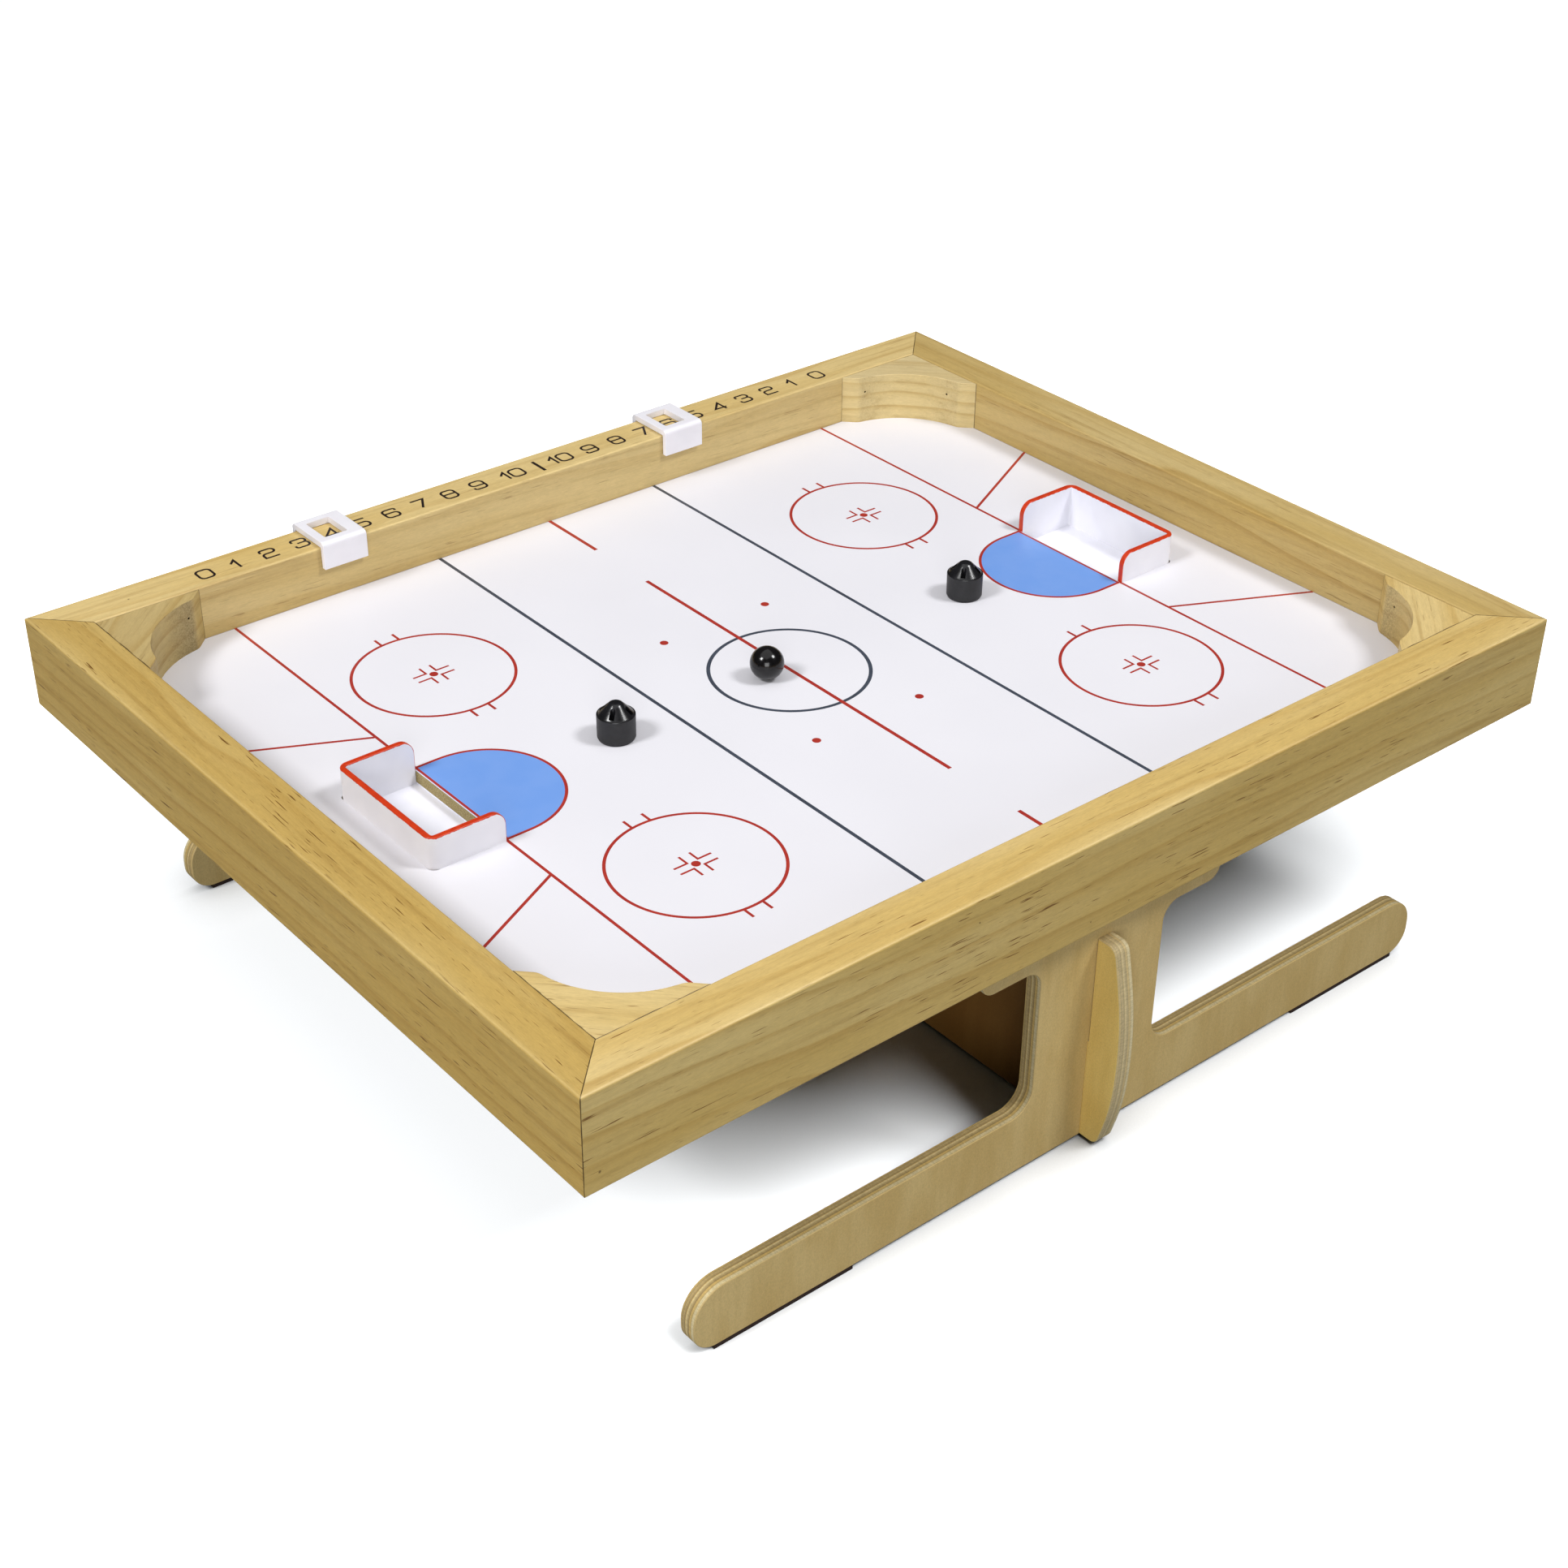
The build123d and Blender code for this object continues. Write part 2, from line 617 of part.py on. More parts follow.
with BuildPart() as score_slider_right:
    with BuildSketch(Plane.YZ.offset(slider_right_x - slider_width / 2)) as clip_right:
        with BuildLine():
            Polyline(
                (clip_in, clip_low),
                (clip_in, clip_top),
                (clip_out, clip_top),
                (clip_out, clip_low),
                (hy + slider_gap, clip_low),
                (hy + slider_gap, rail_top + slider_gap),
                (iy - slider_gap, rail_top + slider_gap),
                (iy - slider_gap, clip_low),
                close=True,
            )
        make_face()
        fillet(clip_right.vertices().group_by(Axis.Y)[-1], slider_bend)
        fillet(
            [v for v in clip_right.vertices() if abs(v.Y - rail_top - slider_gap) < 0.01],
            0.7,
        )
    extrude(amount=slider_width)
    with BuildSketch(Plane.XY.offset(rail_top)):
        with Locations((slider_right_x - 1.4, clip_mid - 0.2)):
            RectangleRounded(window_x, window_y, 0.8)
    extrude(amount=10, mode=Mode.SUBTRACT)
    fillet(
        score_slider_right.faces().filter_by(Axis.X).sort_by(Axis.X)[0].edges(), 0.35
    )
    fillet(
        score_slider_right.faces().filter_by(Axis.X).sort_by(Axis.X)[-1].edges(), 0.35
    )
score_slider_right.part.label = "score_slider_right"

# ---------------------------------------------------------------- stand
# Two plywood leg panels and a stretcher, put together with half-lap slots.
foot_low = pad_thick
foot_high = foot_low + foot_height
foot_r_top, foot_r_low = 16.0, 11.5


with BuildPart() as leg_panel_front:
    with BuildSketch(Plane.XZ.offset(panel_face)) as panel_sketch_f:
        # foot
        with Locations((0, (foot_low + foot_high) / 2)):
            Rectangle(2 * foot_half, foot_height)
        fillet(panel_sketch_f.vertices().group_by(Axis.Y)[-1], foot_r_top)
        fillet(panel_sketch_f.vertices().group_by(Axis.Y)[0], foot_r_low)
        # column
        with Locations((0, (foot_high + beam_bottom) / 2)):
            Rectangle(2 * column_half, beam_bottom - foot_high)
        # beam
        with BuildLine():
            Polyline(
                (-beam_half, rail_bottom),
                (-beam_half, beam_bottom + 7),
                (-beam_half + 7, beam_bottom),
                (beam_half - 7, beam_bottom),
                (beam_half, beam_bottom + 7),
                (beam_half, rail_bottom),
                close=True,
            )
        make_face()
        with Locations((-beam_half + 7, beam_bottom + 7), (beam_half - 7, beam_bottom + 7)):
            Circle(7)
        # tenon
        with Locations((0, rail_bottom + tenon_height / 2)):
            Rectangle(2 * tenon_half, tenon_height)
        # inside corners of the two C-shaped openings
        for s in (-1, 1):
            with BuildLine():
                Line((s * column_half, foot_high), (s * (column_half + 12), foot_high))
                ThreePointArc(
                    (s * (column_half + 12), foot_high),
                    (s * (column_half + 12 - 12 * cos(radians(45))), foot_high + 12 - 12 * sin(radians(45))),
                    (s * column_half, foot_high + 12),
                )
                Line((s * column_half, foot_high + 12), (s * column_half, foot_high))
            make_face()
            with BuildLine():
                Line((s * column_half, beam_bottom), (s * (column_half + 9), beam_bottom))
                ThreePointArc(
                    (s * (column_half + 9), beam_bottom),
                    (s * (column_half + 9 - 9 * cos(radians(45))), beam_bottom - 9 + 9 * sin(radians(45))),
                    (s * column_half, beam_bottom - 9),
                )
                Line((s * column_half, beam_bottom - 9), (s * column_half, beam_bottom))
            make_face()
        # half-lap slot, open at the bottom
        with Locations((0, (foot_low + lap_level) / 2)):
            Rectangle(ply + 2 * lap_slack, lap_level - foot_low, mode=Mode.SUBTRACT)
    extrude(amount=-ply)
    fillet(leg_panel_front.faces().filter_by(Axis.Y).edges(), ply_ease)
leg_panel_front.part.label = "leg_panel_front"

with BuildPart() as leg_panel_back:
    with BuildSketch(Plane.XZ.offset(-panel_face)) as panel_sketch_b:
        with Locations((0, (foot_low + foot_high) / 2)):
            Rectangle(2 * foot_half, foot_height)
        fillet(panel_sketch_b.vertices().group_by(Axis.Y)[-1], foot_r_top)
        fillet(panel_sketch_b.vertices().group_by(Axis.Y)[0], foot_r_low)
        with Locations((0, (foot_high + beam_bottom) / 2)):
            Rectangle(2 * column_half, beam_bottom - foot_high)
        with BuildLine():
            Polyline(
                (-beam_half, rail_bottom),
                (-beam_half, beam_bottom + 7),
                (-beam_half + 7, beam_bottom),
                (beam_half - 7, beam_bottom),
                (beam_half, beam_bottom + 7),
                (beam_half, rail_bottom),
                close=True,
            )
        make_face()
        with Locations((-beam_half + 7, beam_bottom + 7), (beam_half - 7, beam_bottom + 7)):
            Circle(7)
        with Locations((0, rail_bottom + tenon_height / 2)):
            Rectangle(2 * tenon_half, tenon_height)
        for s in (-1, 1):
            with BuildLine():
                Line((s * column_half, foot_high), (s * (column_half + 12), foot_high))
                ThreePointArc(
                    (s * (column_half + 12), foot_high),
                    (s * (column_half + 12 - 12 * cos(radians(45))), foot_high + 12 - 12 * sin(radians(45))),
                    (s * column_half, foot_high + 12),
                )
                Line((s * column_half, foot_high + 12), (s * column_half, foot_high))
            make_face()
            with BuildLine():
                Line((s * column_half, beam_bottom), (s * (column_half + 9), beam_bottom))
                ThreePointArc(
                    (s * (column_half + 9), beam_bottom),
                    (s * (column_half + 9 - 9 * cos(radians(45))), beam_bottom - 9 + 9 * sin(radians(45))),
                    (s * column_half, beam_bottom - 9),
                )
                Line((s * column_half, beam_bottom - 9), (s * column_half, beam_bottom))
            make_face()
        with Locations((0, (foot_low + lap_level) / 2)):
            Rectangle(ply + 2 * lap_slack, lap_level - foot_low, mode=Mode.SUBTRACT)
    extrude(amount=ply)
    fillet(leg_panel_back.faces().filter_by(Axis.Y).edges(), ply_ease)
leg_panel_back.part.label = "leg_panel_back"

# Stretcher: a full-height plate with a rounded fin outside each leg panel and
# a slot, open at the top, that each panel drops into.
with BuildPart() as leg_stretcher:
    with BuildSketch(Plane.YZ.offset(-ply / 2)) as fin:
        with BuildLine():
            Line((0, foot_low), (222.2, foot_low))
            Spline(
                (222.2, foot_low),
                (224.5, 9.5),
                (228.0, 24.0),
                (tab_reach, 51.0),
                (229.2, 76.0),
                (225.4, 98.0),
                (222.6, tab_top),
            )
            Line((222.6, tab_top), (0, tab_top))
            Line((0, tab_top), (0, foot_low))
        make_face()
        fillet([v for v in fin.vertices() if v.X > 1], 5.0)
        mirror(about=Plane.YZ)
        with Locations((panel_mid, (tab_top + lap_level) / 2), (-panel_mid, (tab_top + lap_level) / 2)):
            Rectangle(ply + 2 * lap_slack, tab_top - lap_level, mode=Mode.SUBTRACT)
    extrude(amount=ply)
    fillet(leg_stretcher.faces().filter_by(Axis.X).edges(), ply_ease)
leg_stretcher.part.label = "leg_stretcher"

# ---------------------------------------------------------------- foot pads
pad_in, pad_out = 139.0, 213.0
pad_long, pad_mid = pad_out - pad_in, (pad_in + pad_out) / 2

with BuildPart() as foot_pad_front_left:
    with BuildSketch(Plane.XY):
        with Locations((-pad_mid, -panel_mid)):
            Rectangle(pad_long, ply)
    extrude(amount=pad_thick)
foot_pad_front_left.part.label = "foot_pad_front_left"

with BuildPart() as foot_pad_front_right:
    with BuildSketch(Plane.XY):
        with Locations((pad_mid, -panel_mid)):
            Rectangle(pad_long, ply)
    extrude(amount=pad_thick)
foot_pad_front_right.part.label = "foot_pad_front_right"

with BuildPart() as foot_pad_back_left:
    with BuildSketch(Plane.XY):
        with Locations((-pad_mid, panel_mid)):
            Rectangle(pad_long, ply)
    extrude(amount=pad_thick)
foot_pad_back_left.part.label = "foot_pad_back_left"

with BuildPart() as foot_pad_back_right:
    with BuildSketch(Plane.XY):
        with Locations((pad_mid, panel_mid)):
            Rectangle(pad_long, ply)
    extrude(amount=pad_thick)
foot_pad_back_right.part.label = "foot_pad_back_right"

# ---------------------------------------------------------------- strikers
# Black moulded cap with a conical top and four radial slots, a disc magnet in
# its base and a thin felt that runs on the rink.
magnet_r, magnet_h = 6.0, 5.5
cap_low = board_top + felt_gap + felt_thick
cap_shoulder = board_top + striker_wall_h
cap_top = board_top + striker_h


def cap_outline():
    """Half section of a striker cap, radius and height."""
    return [
        (magnet_r, cap_low),
        (striker_r - 0.6, cap_low),
        (striker_r - 0.1, cap_low + 0.5),
        (striker_r, cap_shoulder - 0.3),
        (striker_r - 0.1, cap_shoulder - 0.08),
        (striker_r - 0.3, cap_shoulder),
        (striker_r - 0.65, cap_shoulder + 0.03),
        (striker_r - 0.9, cap_shoulder + 0.2),
        (3.7, cap_top - 1.0),
        (3.1, cap_top - 0.45),
        (2.4, cap_top - 0.12),
        (1.5, cap_top),
        (0, cap_top),
        (0, cap_low + magnet_h),
        (magnet_r, cap_low + magnet_h),
    ]


with BuildPart() as striker_left_cap:
    with BuildSketch(Plane(origin=(*striker_left, 0), x_dir=(1, 0, 0), z_dir=(0, -1, 0))):
        with BuildLine():
            Polyline(cap_outline(), close=True)
        make_face()
    revolve(axis=Axis((*striker_left, 0), (0, 0, 1)))
    for k in range(4):
        a = radians(slot_turn + 90 * k)
        with BuildSketch(
            Plane(
                origin=(striker_left[0] + slot_in * cos(a), striker_left[1] + slot_in * sin(a), cap_shoulder - 1.6),
                x_dir=(cos(a), sin(a), 0),
                z_dir=(0, 0, 1),
            )
        ):
            Circle(slot_wide / 2)
            with Locations((slot_long / 2, 0)):
                Rectangle(slot_long, slot_wide)
        extrude(amount=8, mode=Mode.SUBTRACT)
striker_left_cap.part.label = "striker_left_cap"

with BuildPart() as striker_left_magnet:
    with BuildSketch(Plane.XY.offset(cap_low)):
        with Locations(striker_left):
            Circle(magnet_r)
    extrude(amount=magnet_h)
striker_left_magnet.part.label = "striker_left_magnet"

with BuildPart() as striker_left_felt:
    with BuildSketch(Plane.XY.offset(board_top + felt_gap)):
        with Locations(striker_left):
            Circle(striker_r - 0.6)
    extrude(amount=felt_thick)
striker_left_felt.part.label = "striker_left_felt"

with BuildPart() as striker_right_cap:
    with BuildSketch(Plane(origin=(*striker_right, 0), x_dir=(1, 0, 0), z_dir=(0, -1, 0))):
        with BuildLine():
            Polyline(cap_outline(), close=True)
        make_face()
    revolve(axis=Axis((*striker_right, 0), (0, 0, 1)))
    for k in range(4):
        a = radians(slot_turn + 90 * k)
        with BuildSketch(
            Plane(
                origin=(striker_right[0] + slot_in * cos(a), striker_right[1] + slot_in * sin(a), cap_shoulder - 1.6),
                x_dir=(cos(a), sin(a), 0),
                z_dir=(0, 0, 1),
            )
        ):
            Circle(slot_wide / 2)
            with Locations((slot_long / 2, 0)):
                Rectangle(slot_long, slot_wide)
        extrude(amount=8, mode=Mode.SUBTRACT)
striker_right_cap.part.label = "striker_right_cap"

with BuildPart() as striker_right_magnet:
    with BuildSketch(Plane.XY.offset(cap_low)):
        with Locations(striker_right):
            Circle(magnet_r)
    extrude(amount=magnet_h)
striker_right_magnet.part.label = "striker_right_magnet"

with BuildPart() as striker_right_felt:
    with BuildSketch(Plane.XY.offset(board_top + felt_gap)):
        with Locations(striker_right):
            Circle(striker_r - 0.6)
    extrude(amount=felt_thick)
striker_right_felt.part.label = "striker_right_felt"

# ---------------------------------------------------------------- handles
# Held from below: a turned knob with a disc magnet let into its top and a
# felt that runs on the underside of the board.
grip_top = mdf_bottom - felt_gap - felt_thick
handle_magnet_r, handle_magnet_h = 8.0, 6.0


def grip_outline():
    """Half section of a handle knob without its lower dome, radius and height."""
    z = grip_top
    return [
        (handle_magnet_r, z),
        (grip_r - 0.6, z),
        (grip_r, z - 0.6),
        (grip_r, z - 6.4),
        (grip_r - 1.2, z - 7.6),
    ]


with BuildPart() as handle_left_grip:
    with BuildSketch(Plane(origin=(*striker_left, 0), x_dir=(1, 0, 0), z_dir=(0, -1, 0))):
        with BuildLine():
            Polyline(grip_outline())
            Spline(
                (grip_r - 1.2, grip_top - 7.6),
                (7.6, grip_top - 12.5),
                (9.6, grip_top - 20.0),
                (10.6, grip_top - 25.0),
                (8.2, grip_top - 31.0),
                (0, grip_top - grip_h),
                tangents=((-1, -0.9), (-1, 0)),
            )
            Line((0, grip_top - grip_h), (0, grip_top - handle_magnet_h))
            Line((0, grip_top - handle_magnet_h), (handle_magnet_r, grip_top - handle_magnet_h))
            Line((handle_magnet_r, grip_top - handle_magnet_h), (handle_magnet_r, grip_top))
        make_face()
    revolve(axis=Axis((*striker_left, 0), (0, 0, 1)))
handle_left_grip.part.label = "handle_left_grip"

with BuildPart() as handle_left_magnet:
    with BuildSketch(Plane.XY.offset(grip_top - handle_magnet_h)):
        with Locations(striker_left):
            Circle(handle_magnet_r)
    extrude(amount=handle_magnet_h)
handle_left_magnet.part.label = "handle_left_magnet"

with BuildPart() as handle_left_felt:
    with BuildSketch(Plane.XY.offset(grip_top)):
        with Locations(striker_left):
            Circle(grip_r - 0.8)
    extrude(amount=felt_thick)
handle_left_felt.part.label = "handle_left_felt"

with BuildPart() as handle_right_grip:
    with BuildSketch(Plane(origin=(*striker_right, 0), x_dir=(1, 0, 0), z_dir=(0, -1, 0))):
        with BuildLine():
            Polyline(grip_outline())
            Spline(
                (grip_r - 1.2, grip_top - 7.6),
                (7.6, grip_top - 12.5),
                (9.6, grip_top - 20.0),
                (10.6, grip_top - 25.0),
                (8.2, grip_top - 31.0),
                (0, grip_top - grip_h),
                tangents=((-1, -0.9), (-1, 0)),
            )
            Line((0, grip_top - grip_h), (0, grip_top - handle_magnet_h))
            Line((0, grip_top - handle_magnet_h), (handle_magnet_r, grip_top - handle_magnet_h))
            Line((handle_magnet_r, grip_top - handle_magnet_h), (handle_magnet_r, grip_top))
        make_face()
    revolve(axis=Axis((*striker_right, 0), (0, 0, 1)))
handle_right_grip.part.label = "handle_right_grip"

with BuildPart() as handle_right_magnet:
    with BuildSketch(Plane.XY.offset(grip_top - handle_magnet_h)):
        with Locations(striker_right):
            Circle(handle_magnet_r)
    extrude(amount=handle_magnet_h)
handle_right_magnet.part.label = "handle_right_magnet"

with BuildPart() as handle_right_felt:
    with BuildSketch(Plane.XY.offset(grip_top)):
        with Locations(striker_right):
            Circle(grip_r - 0.8)
    extrude(amount=felt_thick)
handle_right_felt.part.label = "handle_right_felt"

# ---------------------------------------------------------------- ball
with BuildPart() as game_ball:
    with Locations((ball_xy[0], ball_xy[1], board_top + felt_gap + ball_r)):
        Sphere(ball_r)
game_ball.part.label = "game_ball"

# ---------------------------------------------------------------- output
pieces = [
    rail_front, rail_score, rail_left, rail_right,
    corner_block_front_left, corner_block_front_right,
    corner_block_back_left, corner_block_back_right,
    frame_brads, block_brads,
    playing_board, rink_sheet,
    goal_left, goal_right, goal_screws_left, goal_screws_right,
    score_slider_left, score_slider_right,
    leg_panel_front, leg_panel_back, leg_stretcher,
    foot_pad_front_left, foot_pad_front_right,
    foot_pad_back_left, foot_pad_back_right,
    striker_left_cap, striker_left_magnet, striker_left_felt,
    striker_right_cap, striker_right_magnet, striker_right_felt,
    handle_left_grip, handle_left_magnet, handle_left_felt,
    handle_right_grip, handle_right_magnet, handle_right_felt,
    game_ball,
]
for piece in pieces:
    export_step(piece.part, f"parts/{piece.part.label}.step")
    print(piece.part.label, len(piece.part.solids()), round(piece.part.volume, 1))
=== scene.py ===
"""Looks for the tabletop hockey game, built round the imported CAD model."""

import math

import bmesh
import bpy
from mathutils import Matrix, Vector


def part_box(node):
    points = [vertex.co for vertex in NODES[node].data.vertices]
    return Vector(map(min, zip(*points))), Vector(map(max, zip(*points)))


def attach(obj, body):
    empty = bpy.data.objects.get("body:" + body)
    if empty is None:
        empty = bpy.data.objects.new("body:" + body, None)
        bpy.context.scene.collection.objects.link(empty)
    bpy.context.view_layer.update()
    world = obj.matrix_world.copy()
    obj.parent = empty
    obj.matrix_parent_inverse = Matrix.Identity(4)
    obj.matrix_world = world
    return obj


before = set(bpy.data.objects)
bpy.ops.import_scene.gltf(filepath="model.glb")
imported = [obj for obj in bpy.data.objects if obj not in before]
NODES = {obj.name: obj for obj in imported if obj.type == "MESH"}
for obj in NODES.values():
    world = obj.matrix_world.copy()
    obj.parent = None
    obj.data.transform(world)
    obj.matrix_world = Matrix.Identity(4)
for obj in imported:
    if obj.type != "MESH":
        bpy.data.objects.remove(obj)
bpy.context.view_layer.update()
MM = 0.001

scene = bpy.context.scene
scene.view_settings.view_transform = "Standard"
scene.view_settings.look = "None"
scene.view_settings.exposure = 0.0
scene.view_settings.gamma = 1.0

# ------------------------------------------------------------------ sizes, mm
RAIL_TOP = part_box("rail_front")[1].z / MM
RAIL_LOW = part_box("rail_front")[0].z / MM
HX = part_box("rail_right")[1].x / MM
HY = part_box("rail_score")[1].y / MM
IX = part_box("rail_right")[0].x / MM
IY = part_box("rail_score")[0].y / MM
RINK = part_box("rink_sheet")[1].z / MM
GOAL_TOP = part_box("goal_left")[1].z / MM
GOAL_BACK, GOAL_FRONT, GOAL_HALF = 224.2, 186.4, 37.4
PANEL_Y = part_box("leg_panel_front")[0].y / MM      # outer face, negative side
PLY = (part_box("leg_panel_front")[1].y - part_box("leg_panel_front")[0].y) / MM


def srgb(h):
    """'#rrggbb' to linear RGBA."""
    out = []
    for i in (1, 3, 5):
        c = int(h[i:i + 2], 16) / 255
        out.append(c / 12.92 if c <= 0.04045 else ((c + 0.055) / 1.055) ** 2.4)
    return (*out, 1.0)


# ------------------------------------------------------------------ node helpers
class Shade:
    """Small wrapper that builds one node material."""

    def __init__(self, name):
        self.mat = bpy.data.materials.new(name)
        self.mat.use_nodes = True
        self.nt = self.mat.node_tree
        self.nt.nodes.clear()
        self.out = self.new("ShaderNodeOutputMaterial")
        self.bsdf = self.new("ShaderNodeBsdfPrincipled")
        self.link(self.bsdf.outputs["BSDF"], self.out.inputs["Surface"])

    def new(self, kind, **props):
        n = self.nt.nodes.new(kind)
        for k, v in props.items():
            setattr(n, k, v)
        return n

    def link(self, a, b):
        self.nt.links.new(a, b)

    def put(self, socket, value):
        if isinstance(value, bpy.types.NodeSocket):
            self.link(value, socket)
        else:
            socket.default_value = value

    def set(self, **kw):
        for k, v in kw.items():
            self.put(self.bsdf.inputs[k.replace("_", " ")], v)

    def m(self, op, a, b=0.0, c=0.0, clamp=False):
        n = self.new("ShaderNodeMath", operation=op, use_clamp=clamp)
        self.put(n.inputs[0], a)
        self.put(n.inputs[1], b)
        if op in ("MULTIPLY_ADD", "SMOOTH_MIN", "COMPARE", "WRAP"):
            self.put(n.inputs[2], c)
        return n.outputs[0]

    def add(self, a, b):
        return self.m("ADD", a, b)

    def sub(self, a, b):
        return self.m("SUBTRACT", a, b)

    def mul(self, a, b):
        return self.m("MULTIPLY", a, b)

    def step(self, x, lo, hi):
        """Smooth 0..1 as x goes from lo to hi (lo may be above hi)."""
        n = self.new("ShaderNodeMapRange", interpolation_type="SMOOTHSTEP")
        self.put(n.inputs["Value"], x)
        n.inputs["From Min"].default_value = lo
        n.inputs["From Max"].default_value = hi
        n.inputs["To Min"].default_value = 0.0
        n.inputs["To Max"].default_value = 1.0
        return n.outputs["Result"]

    def lerp(self, x, a, b):
        """Linear a..b as x goes 0..1, clamped."""
        n = self.new("ShaderNodeMapRange")
        self.put(n.inputs["Value"], x)
        n.inputs["To Min"].default_value = a
        n.inputs["To Max"].default_value = b
        return n.outputs["Result"]

    def pos(self):
        """Object coordinates in millimetres, as three scalars."""
        tc = self.new("ShaderNodeTexCoord")
        v = self.new("ShaderNodeVectorMath", operation="SCALE")
        self.link(tc.outputs["Object"], v.inputs[0])
        v.inputs["Scale"].default_value = 1000.0
        s = self.new("ShaderNodeSeparateXYZ")
        self.link(v.outputs[0], s.inputs[0])
        return s.outputs[0], s.outputs[1], s.outputs[2]

    def normal(self):
        g = self.new("ShaderNodeNewGeometry")
        s = self.new("ShaderNodeSeparateXYZ")
        self.link(g.outputs["Normal"], s.inputs[0])
        return s.outputs[0], s.outputs[1], s.outputs[2]

    def vec(self, x, y, z):
        c = self.new("ShaderNodeCombineXYZ")
        self.put(c.inputs[0], x)
        self.put(c.inputs[1], y)
        self.put(c.inputs[2], z)
        return c.outputs[0]

    def noise(self, x, y, z, detail=2.0, rough=0.5, distort=0.0):
        n = self.new("ShaderNodeTexNoise", noise_dimensions="3D")
        self.link(self.vec(x, y, z), n.inputs["Vector"])
        n.inputs["Scale"].default_value = 1.0
        n.inputs["Detail"].default_value = detail
        n.inputs["Roughness"].default_value = rough
        n.inputs["Distortion"].default_value = distort
        return n.outputs["Fac"]

    def ramp(self, fac, stops, interp="LINEAR"):
        n = self.new("ShaderNodeValToRGB")
        cr = n.color_ramp
        cr.interpolation = interp
        while len(cr.elements) > 1:
            cr.elements.remove(cr.elements[-1])
        cr.elements[0].position, cr.elements[0].color = stops[0]
        for p, c in stops[1:]:
            e = cr.elements.new(p)
            e.color = c
        self.link(fac, n.inputs[0])
        return n.outputs["Color"]

    def mix(self, fac, a, b, blend="MIX"):
        n = self.new("ShaderNodeMix", data_type="RGBA", blend_type=blend)
        n.clamp_factor = True
        self.put(n.inputs[0], fac)
        self.put(n.inputs[6], a)
        self.put(n.inputs[7], b)
        return n.outputs[2]

    def gain(self, col, g):
        """Colour times a scalar that varies over the surface."""
        n = self.new("ShaderNodeVectorMath", operation="SCALE")
        self.link(col, n.inputs[0])
        self.put(n.inputs["Scale"], g)
        return n.outputs[0]

    def bump(self, height, strength, dist_mm):
        n = self.new("ShaderNodeBump")
        n.inputs["Strength"].default_value = strength
        n.inputs["Distance"].default_value = dist_mm * MM
        self.link(height, n.inputs["Height"])
        self.link(n.outputs["Normal"], self.bsdf.inputs["Normal"])
        return n


def grey(v):
    return (v, v, v, 1.0)


# ------------------------------------------------------------------ pine
PINE_EARLY = srgb("#CBAD69")
PINE_MID = srgb("#C09D54")
PINE_LATE = srgb("#A88340")
PINE_PALE = srgb("#D6BD82")
PINE_FLECK = srgb("#7A5524")
JOINT = srgb("#3E2F17")


